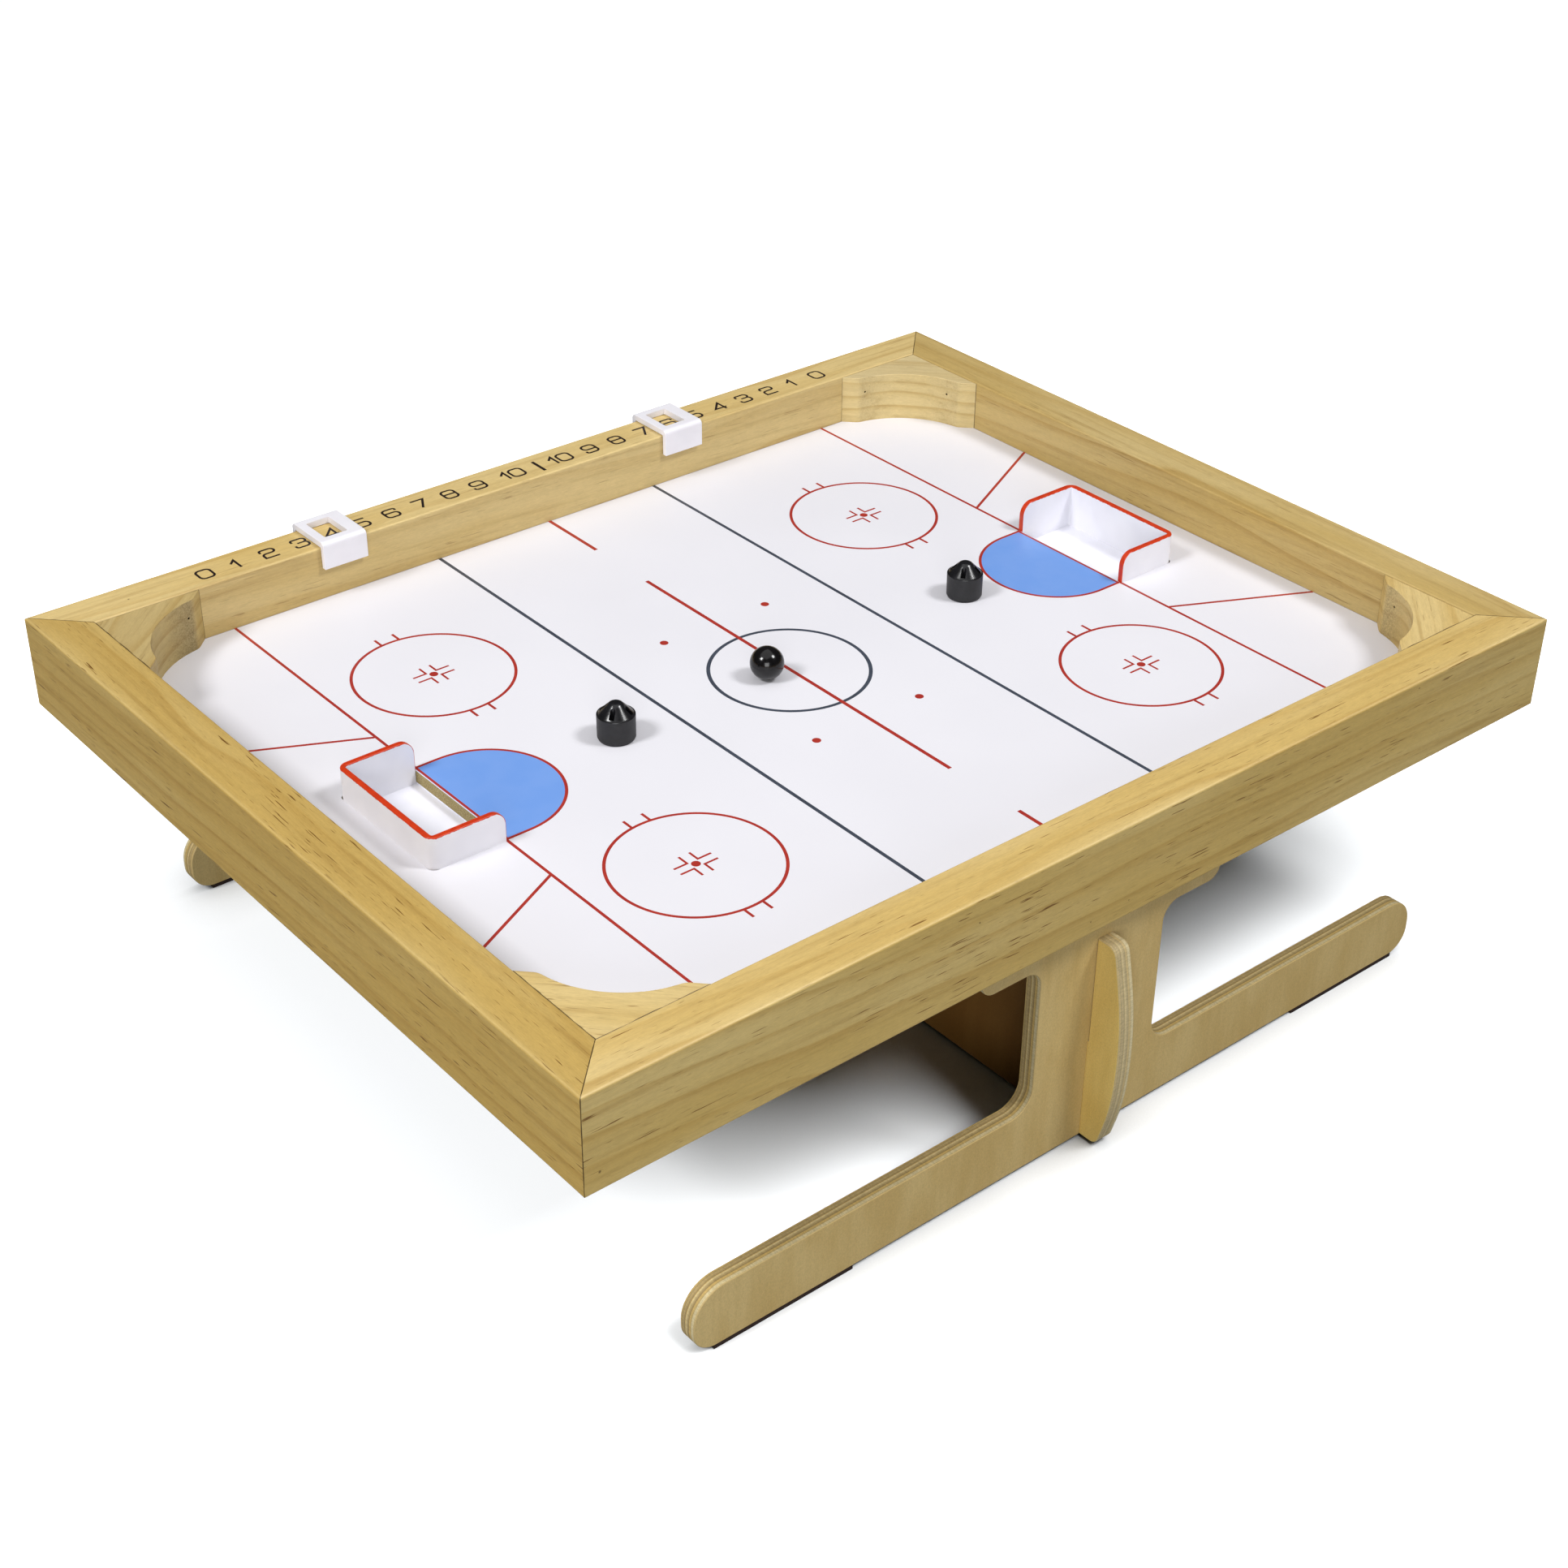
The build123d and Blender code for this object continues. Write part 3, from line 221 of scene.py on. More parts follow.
def pine(name, turn, seed, pith, spacing, band=0.75, flecks=1.0, specks=(), mitre=True,
         seams=None, tone=1.0, sawn=0.0, oblique=0.05, edge=None, pale=0.5,
         tint=(1.0, 1.0, 1.0), side=(1.0, 0.99, 0.90)):
    """Sawn and varnished pine. turn is the grain's direction in plan, degrees from
    +X; pith is the heart's place across the grain and up, in mm."""
    s = Shade(name)
    x, y, z = s.pos()
    a = math.radians(turn)
    ca, sa = math.cos(a), math.sin(a)
    u0 = s.add(s.mul(x, ca), s.mul(y, sa))
    v0 = s.sub(s.mul(y, ca), s.mul(x, sa))
    u = s.add(u0, s.mul(s.add(v0, z), -oblique))
    v, w = s.add(v0, s.mul(u0, oblique * 0.35)), s.add(z, s.mul(u0, oblique * 0.5))
    u = s.add(u, seed * 37.0)
    # slow wander of the rings along the stick
    n1 = s.noise(s.mul(u, 0.0045), s.mul(v, 0.018), s.mul(w, 0.018), 2.0)
    n2 = s.noise(s.add(s.mul(u, 0.004), 31.7), s.mul(w, 0.02), s.mul(v, 0.02), 2.0)
    n3 = s.noise(s.mul(u, 0.02), s.mul(v, 0.09), s.add(s.mul(w, 0.09), 5.5), 2.0)
    vv = s.add(s.sub(v, pith[0]), s.mul(s.sub(n1, 0.5), 26.0))
    ww = s.add(s.sub(w, pith[1]), s.mul(s.sub(n2, 0.5), 26.0))
    vv = s.add(vv, s.mul(s.sub(n3, 0.5), 3.0))
    r = s.m("SQRT", s.add(s.mul(vv, vv), s.mul(ww, ww)))
    phase = s.m("FRACT", s.mul(r, 1.0 / spacing))
    late = s.ramp(phase, [(0.0, grey(0.10)), (0.10, grey(0.0)), (0.42, grey(0.10)),
                          (0.70, grey(0.42)), (0.86, grey(0.90)), (0.93, grey(1.0)),
                          (1.0, grey(0.10))], "EASE")
    ringvar = s.lerp(s.noise(s.mul(r, 0.11), s.mul(u, 0.003), 3.3, 1.0), 0.15, 1.25)
    late = s.mul(late, ringvar)
    # tone drift, streaks and fibres
    drift = s.noise(s.mul(u, 0.006), s.mul(v, 0.035), s.add(s.mul(w, 0.035), 11.0), 2.0)
    streak = s.noise(s.mul(u, 0.005), s.mul(v, 0.30), s.mul(w, 0.30), 3.0, 0.55)
    fibre = s.noise(s.mul(u, 0.10), s.mul(v, 1.5), s.mul(w, 1.5), 4.0, 0.68)
    tight = s.noise(s.mul(u, 0.45), s.mul(v, 2.6), s.mul(w, 2.6), 2.0, 0.6)
    mottle = s.noise(s.mul(u, 0.16), s.mul(v, 0.34), s.mul(w, 0.34), 3.0, 0.6)
    col = s.mix(s.step(drift, pale - 0.20, pale + 0.22), PINE_PALE, PINE_EARLY)
    col = s.mix(s.mul(late, 0.55 * band), col, PINE_MID)
    col = s.mix(s.mul(s.m("POWER", s.m("MAXIMUM", late, 0.0), 2.2), 0.55 * band), col, PINE_LATE)
    col = s.mix(s.mul(s.step(streak, 0.50, 0.80), 0.45), col, PINE_LATE)
    gain = s.add(s.lerp(streak, 1.08, 0.92), s.lerp(fibre, 0.14, -0.14))
    gain = s.add(gain, s.lerp(mottle, 0.09, -0.09))
    gain = s.add(gain, s.lerp(tight, 0.13, -0.13))
    # resin flecks: short dark dashes along the grain, in drifts
    fl = s.noise(s.mul(u, 0.060), s.mul(v, 1.30), s.mul(w, 1.30), 1.0, 0.4)
    where = s.noise(s.mul(u, 0.011), s.mul(v, 0.10), s.add(s.mul(w, 0.10), 7.0), 2.0)
    fmask = s.mul(s.step(fl, 0.665, 0.735), s.step(where, 0.42, 0.58))
    fl2 = s.noise(s.mul(u, 0.13), s.mul(v, 2.2), s.add(s.mul(w, 2.2), 19.0), 0.5)
    fmask = s.m("MAXIMUM", fmask, s.mul(s.step(fl2, 0.72, 0.80), 0.55))
    fmask = s.mul(fmask, 0.70 * flecks)
    col = s.mix(fmask, col, PINE_FLECK)
    for (px, py, pz, rad) in specks:
        dx, dy, dz = s.sub(x, px), s.sub(y, py), s.sub(z, pz)
        d = s.m("SQRT", s.add(s.add(s.mul(dx, dx), s.mul(dy, dy)), s.mul(dz, dz)))
        col = s.mix(s.mul(s.step(d, rad * 1.7, rad * 0.6), 0.75), col, srgb("#5C4420"))
    if sawn:
        # end-grain parts of a hollowed face: greyer and rougher
        nx, ny, nz = s.normal()
        along = s.m("ABSOLUTE", s.add(s.mul(nx, ca), s.mul(ny, sa)))
        g = s.mul(s.step(along, 0.10, 0.62), sawn)
        pits = s.noise(s.mul(x, 1.25), s.mul(y, 1.25), s.mul(z, 1.25), 4.0, 0.75)
        endcol = s.mix(s.step(pits, 0.36, 0.64), srgb("#7F6E4D"), srgb("#BCA97F"))
        col = s.mix(s.mul(g, 0.80), col, endcol)
    if mitre:
        d = s.m("ABSOLUTE", s.sub(s.sub(s.m("ABSOLUTE", x), s.m("ABSOLUTE", y)), HX - HY))
        wob = s.noise(s.mul(x, 0.35), s.mul(y, 0.35), s.mul(z, 0.12), 2.0)
        col = s.mix(s.mul(s.step(s.sub(d, s.mul(wob, 0.35)), 0.22, 0.0), 0.92), col, JOINT)
    if seams:
        for axis_value, limit in seams:
            q = x if axis_value == "x" else y
            d = s.sub(limit, s.m("ABSOLUTE", q))
            wob = s.noise(s.mul(x, 0.11), s.mul(y, 0.11), 2.0, 2.0)
            k = s.mul(s.step(s.sub(d, s.mul(s.sub(wob, 0.40), 1.1)), 0.34, 0.0), 0.85)
            col = s.mix(k, col, JOINT)
    if edge:
        # painted highlight: a slightly brighter band along the outer top arris
        q, limit, wide = edge
        qq = x if q == "x" else y
        d = s.sub(limit, s.m("ABSOLUTE", qq))
        k = s.mul(s.step(d, wide, 0.3), s.step(z, RAIL_TOP - 0.7, RAIL_TOP - 0.2))
        col = s.mix(s.mul(k, s.lerp(streak, 0.0, 0.5)), col, srgb("#E6D09A"))
    # painted light and shade: the upright faces get their own tint, darker or lighter per rail, set apart from the
    # tops by how light falls
    up = s.normal()[2]
    upright_face_shade = s.mix(s.step(s.m("ABSOLUTE", up), 0.35, 0.85), (*side, 1.0), (1.0, 1.0, 1.0, 1.0))
    col = s.mix(1.0, col, upright_face_shade, "MULTIPLY")
    col = s.mix(1.0, col, (*(tone * t for t in tint), 1.0), "MULTIPLY")
    col = s.gain(col, gain)
    s.set(Base_Color=col)
    rough = s.add(s.lerp(streak, 0.42, 0.54), s.lerp(fibre, -0.05, 0.07))
    s.set(Roughness=rough)
    s.bsdf.inputs["Specular IOR Level"].default_value = 0.32
    s.bsdf.inputs["Coat Weight"].default_value = 0.06
    s.bsdf.inputs["Coat Roughness"].default_value = 0.34
    h = s.add(s.mul(fibre, 0.6), s.mul(fmask, -0.8))
    h = s.add(h, s.mul(late, 0.15))
    s.bump(h, 0.22, 0.12)
    return s.mat


# ------------------------------------------------------------------ plywood
def plywood(name, across, centre, seed, tint=(1.0, 1.0, 1.0), chalky=0.0, painted_inner_shade=None):
    """Birch-faced plywood. across is 'x' or 'y', the sheet's thickness; centre its
    middle plane in mm (for 'y' the absolute value is used)."""
    s = Shade(name)
    x, y, z = s.pos()
    nx, ny, nz = s.normal()
    if across == "y":
        t = s.add(s.mul(s.sub(s.m("ABSOLUTE", y), centre), 1.0 / PLY), 0.5)
        along, nface = x, s.m("ABSOLUTE", ny)
    else:
        t = s.add(s.mul(s.sub(x, centre), 1.0 / PLY), 0.5)
        along, nface = y, s.m("ABSOLUTE", nx)
    al = s.add(along, seed * 53.0)
    # face veneer: fine vertical grain, soft cloudy figure
    f1 = s.noise(s.mul(al, 1.5), 3.0 + seed, s.mul(z, 0.085), 4.0, 0.6)
    f2 = s.noise(s.mul(al, 0.06), seed, s.mul(z, 0.022), 3.0)
    f3 = s.noise(s.mul(al, 2.6), 9.0 + seed, s.mul(z, 0.22), 1.0)
    f4 = s.noise(s.mul(al, 0.35), 5.0 + seed, s.mul(z, 0.012), 3.0, 0.55)
    face = s.mix(s.step(f2, 0.30, 0.72), srgb("#D0B880"), srgb("#C6AB70"))
    face = s.mix(s.mul(s.step(f4, 0.45, 0.75), 0.12), face, srgb("#BB9D60"))
    face = s.mix(s.mul(s.step(f3, 0.68, 0.80), 0.25), face, srgb("#94773F"))
    fspeck = s.noise(s.mul(al, 1.5), 4.0 + seed, s.mul(z, 1.0), 3.0, 0.75)
    fgain = s.add(s.lerp(f1, 1.05, 0.95), s.lerp(f4, 0.02, -0.02))
    fgain = s.add(fgain, s.lerp(fspeck, 0.26, -0.26))
    if painted_inner_shade:
        # painted shade: the part between the panels is darkened and browned for the deep shade under the table
        outside_inner_shade = s.step(s.m("ABSOLUTE", along), 205.0, 211.0)
        face = s.mix(1.0, face, s.mix(outside_inner_shade, (*painted_inner_shade, 1.0), (*tint, 1.0)), "MULTIPLY")
    else:
        face = s.mix(1.0, face, (*tint, 1.0), "MULTIPLY")
    face = s.gain(face, fgain)
    # edge: seven plies of uneven thickness, cross-grain ones speckled, soft glue lines
    wob = s.noise(s.mul(al, 0.018), s.mul(z, 0.018), 2.0 + seed, 2.0)
    tt = s.add(t, s.mul(s.sub(wob, 0.5), 0.05))
    tt = s.m("MINIMUM", s.m("MAXIMUM", tt, 0.0), 1.0)
    cream, gold = srgb("#D9C591"), srgb("#CDAE6A")
    tan, dust, brown = srgb("#BCA36E"), srgb("#A58E60"), srgb("#937A4C")
    pale = srgb("#D6C79B")
    plies = [(0.00, tan), (0.09, gold), (0.12, dust), (0.22, tan), (0.32, dust),
             (0.345, brown), (0.37, gold), (0.42, cream), (0.50, tan), (0.585, dust),
             (0.61, brown), (0.64, gold), (0.735, gold), (0.76, dust), (0.79, cream),
             (0.86, pale), (0.93, cream), (0.96, tan), (1.0, gold)]
    edge = s.ramp(tt, plies)
    cross = s.ramp(tt, [(0.0, grey(0.5)), (0.09, grey(0.5)), (0.12, grey(1)), (0.32, grey(1)),
                        (0.37, grey(0.3)), (0.42, grey(0.6)), (0.58, grey(0.8)),
                        (0.64, grey(0.25)), (0.74, grey(0.25)), (0.79, grey(0.8)), (0.93, grey(0.8)),
                        (0.96, grey(0.3)), (1.0, grey(0.3))])
    sp = s.noise(s.mul(x, 1.5), s.mul(y, 1.5), s.mul(z, 1.5), 3.0, 0.7)
    lf = s.noise(s.mul(al, 0.06), s.mul(tt, 40.0), s.mul(z, 0.06), 3.0, 0.6)
    egain = s.add(1.0, s.mul(cross, s.lerp(sp, 0.40, -0.40)))
    egain = s.add(egain, s.lerp(lf, 0.12, -0.12))
    # cutter chatter: fine ripples across the thickness
    chat = s.noise(s.mul(al, 1.1), s.mul(tt, 3.0), s.mul(z, 1.9), 2.0, 0.6)
    egain = s.add(egain, s.lerp(chat, 0.34, -0.34))
    if chalky:
        edge = s.mix(chalky, edge, srgb("#D2C49C"))
    edge = s.gain(edge, egain)
    k = s.step(nface, 0.80, 0.92)
    col = s.mix(k, edge, face)
    # painted highlight: the eased arris between face and edge is a little paler
    arris_highlight = s.mul(s.step(nface, 0.25, 0.60), s.step(nface, 0.985, 0.80))
    col = s.mix(s.mul(arris_highlight, 0.14), col, srgb("#E2CF9C"))
    s.set(Base_Color=col)
    s.set(Roughness=s.add(s.lerp(f1, 0.50, 0.60), s.mul(s.sub(1.0, k), 0.10)))
    s.bsdf.inputs["Specular IOR Level"].default_value = 0.35
    s.bsdf.inputs["Coat Weight"].default_value = 0.06
    s.bsdf.inputs["Coat Roughness"].default_value = 0.40
    h = s.add(s.mul(f1, s.mul(k, 0.35)), s.mul(s.mul(sp, s.sub(1.0, k)), 0.9))
    s.bump(h, 0.30, 0.15)
    return s.mat


def mdf(name):
    s = Shade(name)
    x, y, z = s.pos()
    a = s.noise(s.mul(x, 1.9), s.mul(y, 1.9), s.mul(z, 2.4), 4.0, 0.7)
    b = s.noise(s.mul(x, 0.12), s.mul(y, 0.12), s.mul(z, 0.5), 2.0)
    hairs = s.noise(s.mul(x, 0.8), s.mul(y, 3.2), s.mul(z, 6.0), 2.0, 0.6)
    col = s.ramp(a, [(0.28, srgb("#5E4E30")), (0.44, srgb("#8C7A4E")),
                     (0.58, srgb("#AE9E70")), (0.76, srgb("#CDBE92"))])
    col = s.mix(s.mul(s.step(hairs, 0.62, 0.78), 0.35), col, srgb("#7E6A52"))
    col = s.gain(col, s.lerp(b, 0.92, 1.06))
    s.set(Base_Color=col, Roughness=s.lerp(a, 0.72, 0.92))
    s.bsdf.inputs["Specular IOR Level"].default_value = 0.2
    s.bump(a, 0.35, 0.15)
    return s.mat


def rink_sheet(name):
    s = Shade(name)
    x, y, z = s.pos()
    a = s.noise(s.mul(x, 0.010), s.mul(y, 0.010), 0.0, 2.0)
    dust = s.noise(s.mul(x, 0.9), s.mul(y, 0.9), 1.0, 2.0, 0.6)
    orange = s.noise(s.mul(x, 0.55), s.mul(y, 0.55), 4.0, 2.0)
    col = s.mix(s.step(a, 0.3, 0.7), srgb("#E2E1E7"), srgb("#E5E4EA"))
    col = s.mix(s.mul(s.step(dust, 0.74, 0.84), 0.22), col, srgb("#B9B7BE"))
    # thin shadow line where the sheet runs under the rails and blocks
    dx = s.sub(IX, s.m("ABSOLUTE", x))
    dy = s.sub(IY, s.m("ABSOLUTE", y))
    d = s.m("MINIMUM", dx, dy)
    col = s.mix(s.mul(s.step(d, 0.55, 0.05), 0.75), col, srgb("#5D4B52"))
    s.set(Base_Color=col, Roughness=s.add(s.lerp(orange, 0.42, 0.50), s.mul(dust, 0.05)))
    s.bsdf.inputs["Specular IOR Level"].default_value = 0.24
    s.bump(orange, 0.05, 0.05)
    return s.mat


def goal_plastic(name):
    s = Shade(name)
    x, y, z = s.pos()
    nx, ny, nz = s.normal()
    soft = s.noise(s.mul(x, 0.05), s.mul(y, 0.05), s.mul(z, 0.05), 2.0)
    grain = s.noise(s.mul(x, 1.6), s.mul(y, 1.6), s.mul(z, 1.6), 2.0, 0.6)
    white = s.mix(s.step(soft, 0.3, 0.7), srgb("#E9E9F1"), srgb("#EFEFF6"))
    # hand-painted rim: a ragged edge that laps a little over both faces
    ragged = s.noise(s.mul(x, 0.55), s.mul(y, 0.55), s.mul(z, 0.55), 3.0, 0.6)
    lap = s.mul(s.sub(ragged, 0.45), 1.0)
    top = s.step(s.add(s.sub(z, GOAL_TOP), lap), -0.62, -0.42)
    flat_top = s.mul(s.step(nz, 0.35, 0.6), s.step(z, RINK + 3.0, RINK + 4.0))
    ax = s.m("ABSOLUTE", x)
    toward = s.mul(s.m("SIGN", x), s.mul(nx, -1.0))
    front = s.mul(s.mul(s.step(toward, 0.10, 0.30), s.step(ax, GOAL_FRONT + 8.5, GOAL_FRONT + 8.0)),
                  s.step(z, RINK - 0.2, RINK))
    mask = s.m("MAXIMUM", s.m("MAXIMUM", top, flat_top), front)
    redn = s.noise(s.mul(x, 0.35), s.mul(y, 0.35), s.mul(z, 0.35), 3.0, 0.6)
    red = s.mix(s.step(redn, 0.30, 0.70), srgb("#C03210"), srgb("#CE3C14"))
    red = s.mix(s.mul(s.step(grain, 0.66, 0.78), 0.35), red, srgb("#A8260F"))
    col = s.mix(mask, white, red)
    s.set(Base_Color=col, Roughness=s.add(s.lerp(grain, 0.34, 0.46), s.mul(mask, -0.06)))
    s.bsdf.inputs["Specular IOR Level"].default_value = 0.42
    s.bump(s.add(s.mul(grain, 0.4), s.mul(mask, 0.7)), 0.18, 0.10)
    return s.mat


def plastic(name, base, other, rough, bump=0.10, scale=1.6, spec=0.45, coat=0.0, sss=0.0, speck=None):
    s = Shade(name)
    x, y, z = s.pos()
    soft = s.noise(s.mul(x, 0.07), s.mul(y, 0.07), s.mul(z, 0.07), 2.0)
    grain = s.noise(s.mul(x, scale), s.mul(y, scale), s.mul(z, scale), 3.0, 0.6)
    col = s.mix(s.step(soft, 0.3, 0.7), srgb(base), srgb(other))
    if speck:
        col = s.mix(s.mul(s.step(grain, 0.60, 0.74), 0.5), col, srgb(speck))
    s.set(Base_Color=col, Roughness=s.lerp(grain, rough - 0.06, rough + 0.08))
    s.bsdf.inputs["Specular IOR Level"].default_value = spec
    s.bsdf.inputs["Coat Weight"].default_value = coat
    s.bsdf.inputs["Coat Roughness"].default_value = 0.10
    s.bsdf.inputs["Subsurface Weight"].default_value = sss
    s.bsdf.inputs["Subsurface Radius"].default_value = (1.0, 0.85, 0.9)
    s.bsdf.inputs["Subsurface Scale"].default_value = 0.0015
    s.bump(grain, bump, 0.06)
    return s.mat


def striker_plastic(name):
    """Fine spark-eroded texture on the wall, smoother on the cone above it."""
    s = Shade(name)
    x, y, z = s.pos()
    grain = s.noise(s.mul(x, 3.4), s.mul(y, 3.4), s.mul(z, 3.4), 3.0, 0.65)
    soft = s.noise(s.mul(x, 0.3), s.mul(y, 0.3), s.mul(z, 0.3), 2.0)
    cone = s.step(z, RINK + 12.3, RINK + 12.75)
    col = s.mix(s.step(soft, 0.3, 0.7), srgb("#121214"), srgb("#1A1A1D"))
    col = s.mix(s.mul(s.step(grain, 0.62, 0.75), 0.30), col, srgb("#303034"))
    s.set(Base_Color=col)
    s.set(Roughness=s.add(s.lerp(cone, 0.50, 0.20), s.lerp(grain, -0.05, 0.07)))
    s.bsdf.inputs["Specular IOR Level"].default_value = 0.5
    s.bump(s.mul(grain, s.lerp(cone, 1.0, 0.25)), 0.28, 0.06)
    return s.mat


def metal(name, base, other, rough, brushed="z"):
    s = Shade(name)
    x, y, z = s.pos()
    k = {"x": (0.05, 4.0, 4.0), "y": (4.0, 0.05, 4.0), "z": (4.0, 4.0, 0.05)}[brushed]
    lines = s.noise(s.mul(x, k[0]), s.mul(y, k[1]), s.mul(z, k[2]), 3.0, 0.6)
    blot = s.noise(s.mul(x, 0.6), s.mul(y, 0.6), s.mul(z, 0.6), 2.0)
    col = s.mix(s.step(blot, 0.3, 0.7), srgb(base), srgb(other))
    s.set(Base_Color=col, Roughness=s.lerp(lines, rough - 0.08, rough + 0.12))
    s.bsdf.inputs["Metallic"].default_value = 1.0
    s.bump(lines, 0.12, 0.04)
    return s.mat


def felt(name):
    s = Shade(name)
    x, y, z = s.pos()
    a = s.noise(s.mul(x, 2.2), s.mul(y, 2.2), s.mul(z, 2.2), 4.0, 0.75)
    b = s.noise(s.mul(x, 7.0), s.mul(y, 1.1), s.mul(z, 4.0), 3.0, 0.7, 1.5)
    col = s.mix(s.step(a, 0.3, 0.7), srgb("#202023"), srgb("#3B3B40"))
    col = s.mix(s.mul(s.step(b, 0.58, 0.72), 0.4), col, srgb("#5B5B62"))
    s.set(Base_Color=col, Roughness=s.lerp(a, 0.88, 0.98))
    s.bsdf.inputs["Specular IOR Level"].default_value = 0.15
    s.bsdf.inputs["Sheen Weight"].default_value = 0.35
    s.bsdf.inputs["Sheen Roughness"].default_value = 0.5
    s.bump(s.add(a, s.mul(b, 0.6)), 0.55, 0.20)
    return s.mat


def ink(name, base, other, rough=0.34, thin=0.0, under=None):
    """Screen-printed ink: slight tone drift and, on wood, small misses."""
    s = Shade(name)
    x, y, z = s.pos()
    a = s.noise(s.mul(x, 0.08), s.mul(y, 0.08), 0.0, 2.0)
    g = s.noise(s.mul(x, 1.4), s.mul(y, 2.2), 0.0, 3.0, 0.65)
    col = s.mix(s.step(a, 0.3, 0.7), srgb(base), srgb(other))
    if under:
        col = s.mix(s.mul(s.step(g, 0.62, 0.74), thin), col, srgb(under))
    s.set(Base_Color=col, Roughness=s.lerp(g, rough - 0.05, rough + 0.07))
    s.bsdf.inputs["Specular IOR Level"].default_value = 0.4
    s.bump(g, 0.06, 0.03)
    return s.mat


def rubber(name):
    s = Shade(name)
    x, y, z = s.pos()
    a = s.noise(s.mul(x, 1.8), s.mul(y, 1.8), s.mul(z, 1.8), 3.0, 0.7)
    cell = s.noise(s.mul(x, 0.5), s.mul(y, 0.5), s.mul(z, 0.5), 2.0)
    col = s.mix(s.step(a, 0.3, 0.72), srgb("#2B1F1B"), srgb("#3F302A"))
    col = s.gain(col, s.lerp(cell, 0.9, 1.1))
    s.set(Base_Color=col, Roughness=s.lerp(a, 0.75, 0.92))
    s.bsdf.inputs["Specular IOR Level"].default_value = 0.25
    s.bump(a, 0.4, 0.12)
    return s.mat


# ------------------------------------------------------------------ assign to the CAD nodes
def give(node, mat):
    o = NODES[node]
    o.data.materials.clear()
    o.data.materials.append(mat)
    for p in o.data.polygons:
        p.material_index = 0


front_specks = [(185.0, -HY, 169.2, 0.36), (-86.3, -HY, 161.3, 0.36), (-21.2, -HY, 132.3, 0.32),
                (1.3, -HY, 133.5, 0.28), (-272.3, -HY, 134.7, 0.5)]
# the side tints given to the rails below are painted light and shade on their upright faces
give("rail_front", pine("pine_front", 0, 1.0, (-262.0, 96.0), 11.5, band=0.85, flecks=1.35,
                        specks=front_specks, edge=("y", HY, 2.2), pale=0.46, side=(0.94, 0.93, 0.82)))
give("rail_score", pine("pine_score", 0, 2.3, (262.0, 110.0), 12.5, band=0.50, flecks=0.55,
                        specks=[(-233.0, 209.0, RAIL_TOP, 0.4)], tone=1.0, pale=0.66,
                        side=(0.88, 0.88, 0.88)))
give("rail_left", pine("pine_left", 90, 3.1, (312.0, 92.0), 10.5, band=0.80, flecks=1.55,
                       edge=("x", HX, 2.6), tone=0.825, pale=0.36,
                       tint=(1.02, 0.98, 0.84), side=(1.05, 1.02, 0.87)))
give("rail_right", pine("pine_right", 90, 4.7, (-236.0, 100.0), 12.0, band=0.85, flecks=0.7, tone=0.84, pale=0.50,
                        side=(0.94, 0.92, 0.85)))

block_seams = [("x", IX), ("y", IY)]
give("corner_block_front_left", pine("pine_block_front_left", -45, 5.2, (-300.0, 214.0), 9.0,
     band=0.55, flecks=1.1, mitre=False, seams=block_seams, tone=0.97, sawn=0.8, pale=0.62))
give("corner_block_front_right", pine("pine_block_front_right", 45, 6.4, (-300.0, 120.0), 8.0,
     band=0.95, flecks=0.6, mitre=False, seams=block_seams, sawn=0.9))
give("corner_block_back_left", pine("pine_block_back_left", 45, 7.9, (300.0, 190.0), 9.5,
     band=0.95, flecks=0.5, mitre=False, seams=block_seams, tone=0.735, sawn=1.0))
give("corner_block_back_right", pine("pine_block_back_right", -45, 8.8, (290.0, 120.0), 8.5,
     band=0.8, flecks=0.5, mitre=False, seams=block_seams, tone=0.98, sawn=0.3, pale=0.80, tint=(0.96, 1.01, 1.20)))

panel_mid = abs(PANEL_Y) - PLY / 2
give("leg_panel_front", plywood("plywood_panel", "y", panel_mid, 1.3, tint=(1.02, 0.99, 0.90)))
give("leg_panel_back", NODES["leg_panel_front"].data.materials[0])
# painted light: the face tint brightens and warms the fins, partly a golden veneer and partly light they miss under
# the frame; the inner tint gives the painted shade between the panels
give("leg_stretcher", plywood("plywood_stretcher", "x", 0.0, 2.9, tint=(1.42, 1.38, 0.98),
                               chalky=0.40, painted_inner_shade=(0.37, 0.23, 0.11)))

give("playing_board", mdf("board_mdf"))
give("rink_sheet", rink_sheet("rink_white"))
goal_mat = goal_plastic("goal_white")
give("goal_left", goal_mat)
give("goal_right", goal_mat)
slider_mat = plastic("slider_white", "#E8E6EC", "#EDEBF1", 0.33, bump=0.07, scale=1.1, sss=0.12)
give("score_slider_left", slider_mat)
give("score_slider_right", slider_mat)
strike = striker_plastic("striker_black")
give("striker_left_cap", strike)
give("striker_right_cap", strike)
grip = plastic("grip_black", "#19191B", "#242427", 0.46, bump=0.3, scale=2.6, spec=0.5, speck="#37373B")
give("handle_left_grip", grip)
give("handle_right_grip", grip)
give("game_ball", plastic("ball_black", "#0B0A0B", "#121011", 0.17, bump=0.05, scale=0.9,
                          spec=0.34, coat=0.18, speck="#1E1A1C"))
felt_mat = felt("felt_dark")
magnet_mat = metal("magnet_nickel", "#C9C9CC", "#B4B4B8", 0.24, "z")
for side in ("left", "right"):
    give(f"striker_{side}_felt", felt_mat)
    give(f"handle_{side}_felt", felt_mat)
    give(f"striker_{side}_magnet", magnet_mat)
    give(f"handle_{side}_magnet", magnet_mat)
brad_mat = metal("brad_steel", "#332A1E", "#1F1912", 0.5, "z")
give("frame_brads", brad_mat)
give("block_brads", brad_mat)
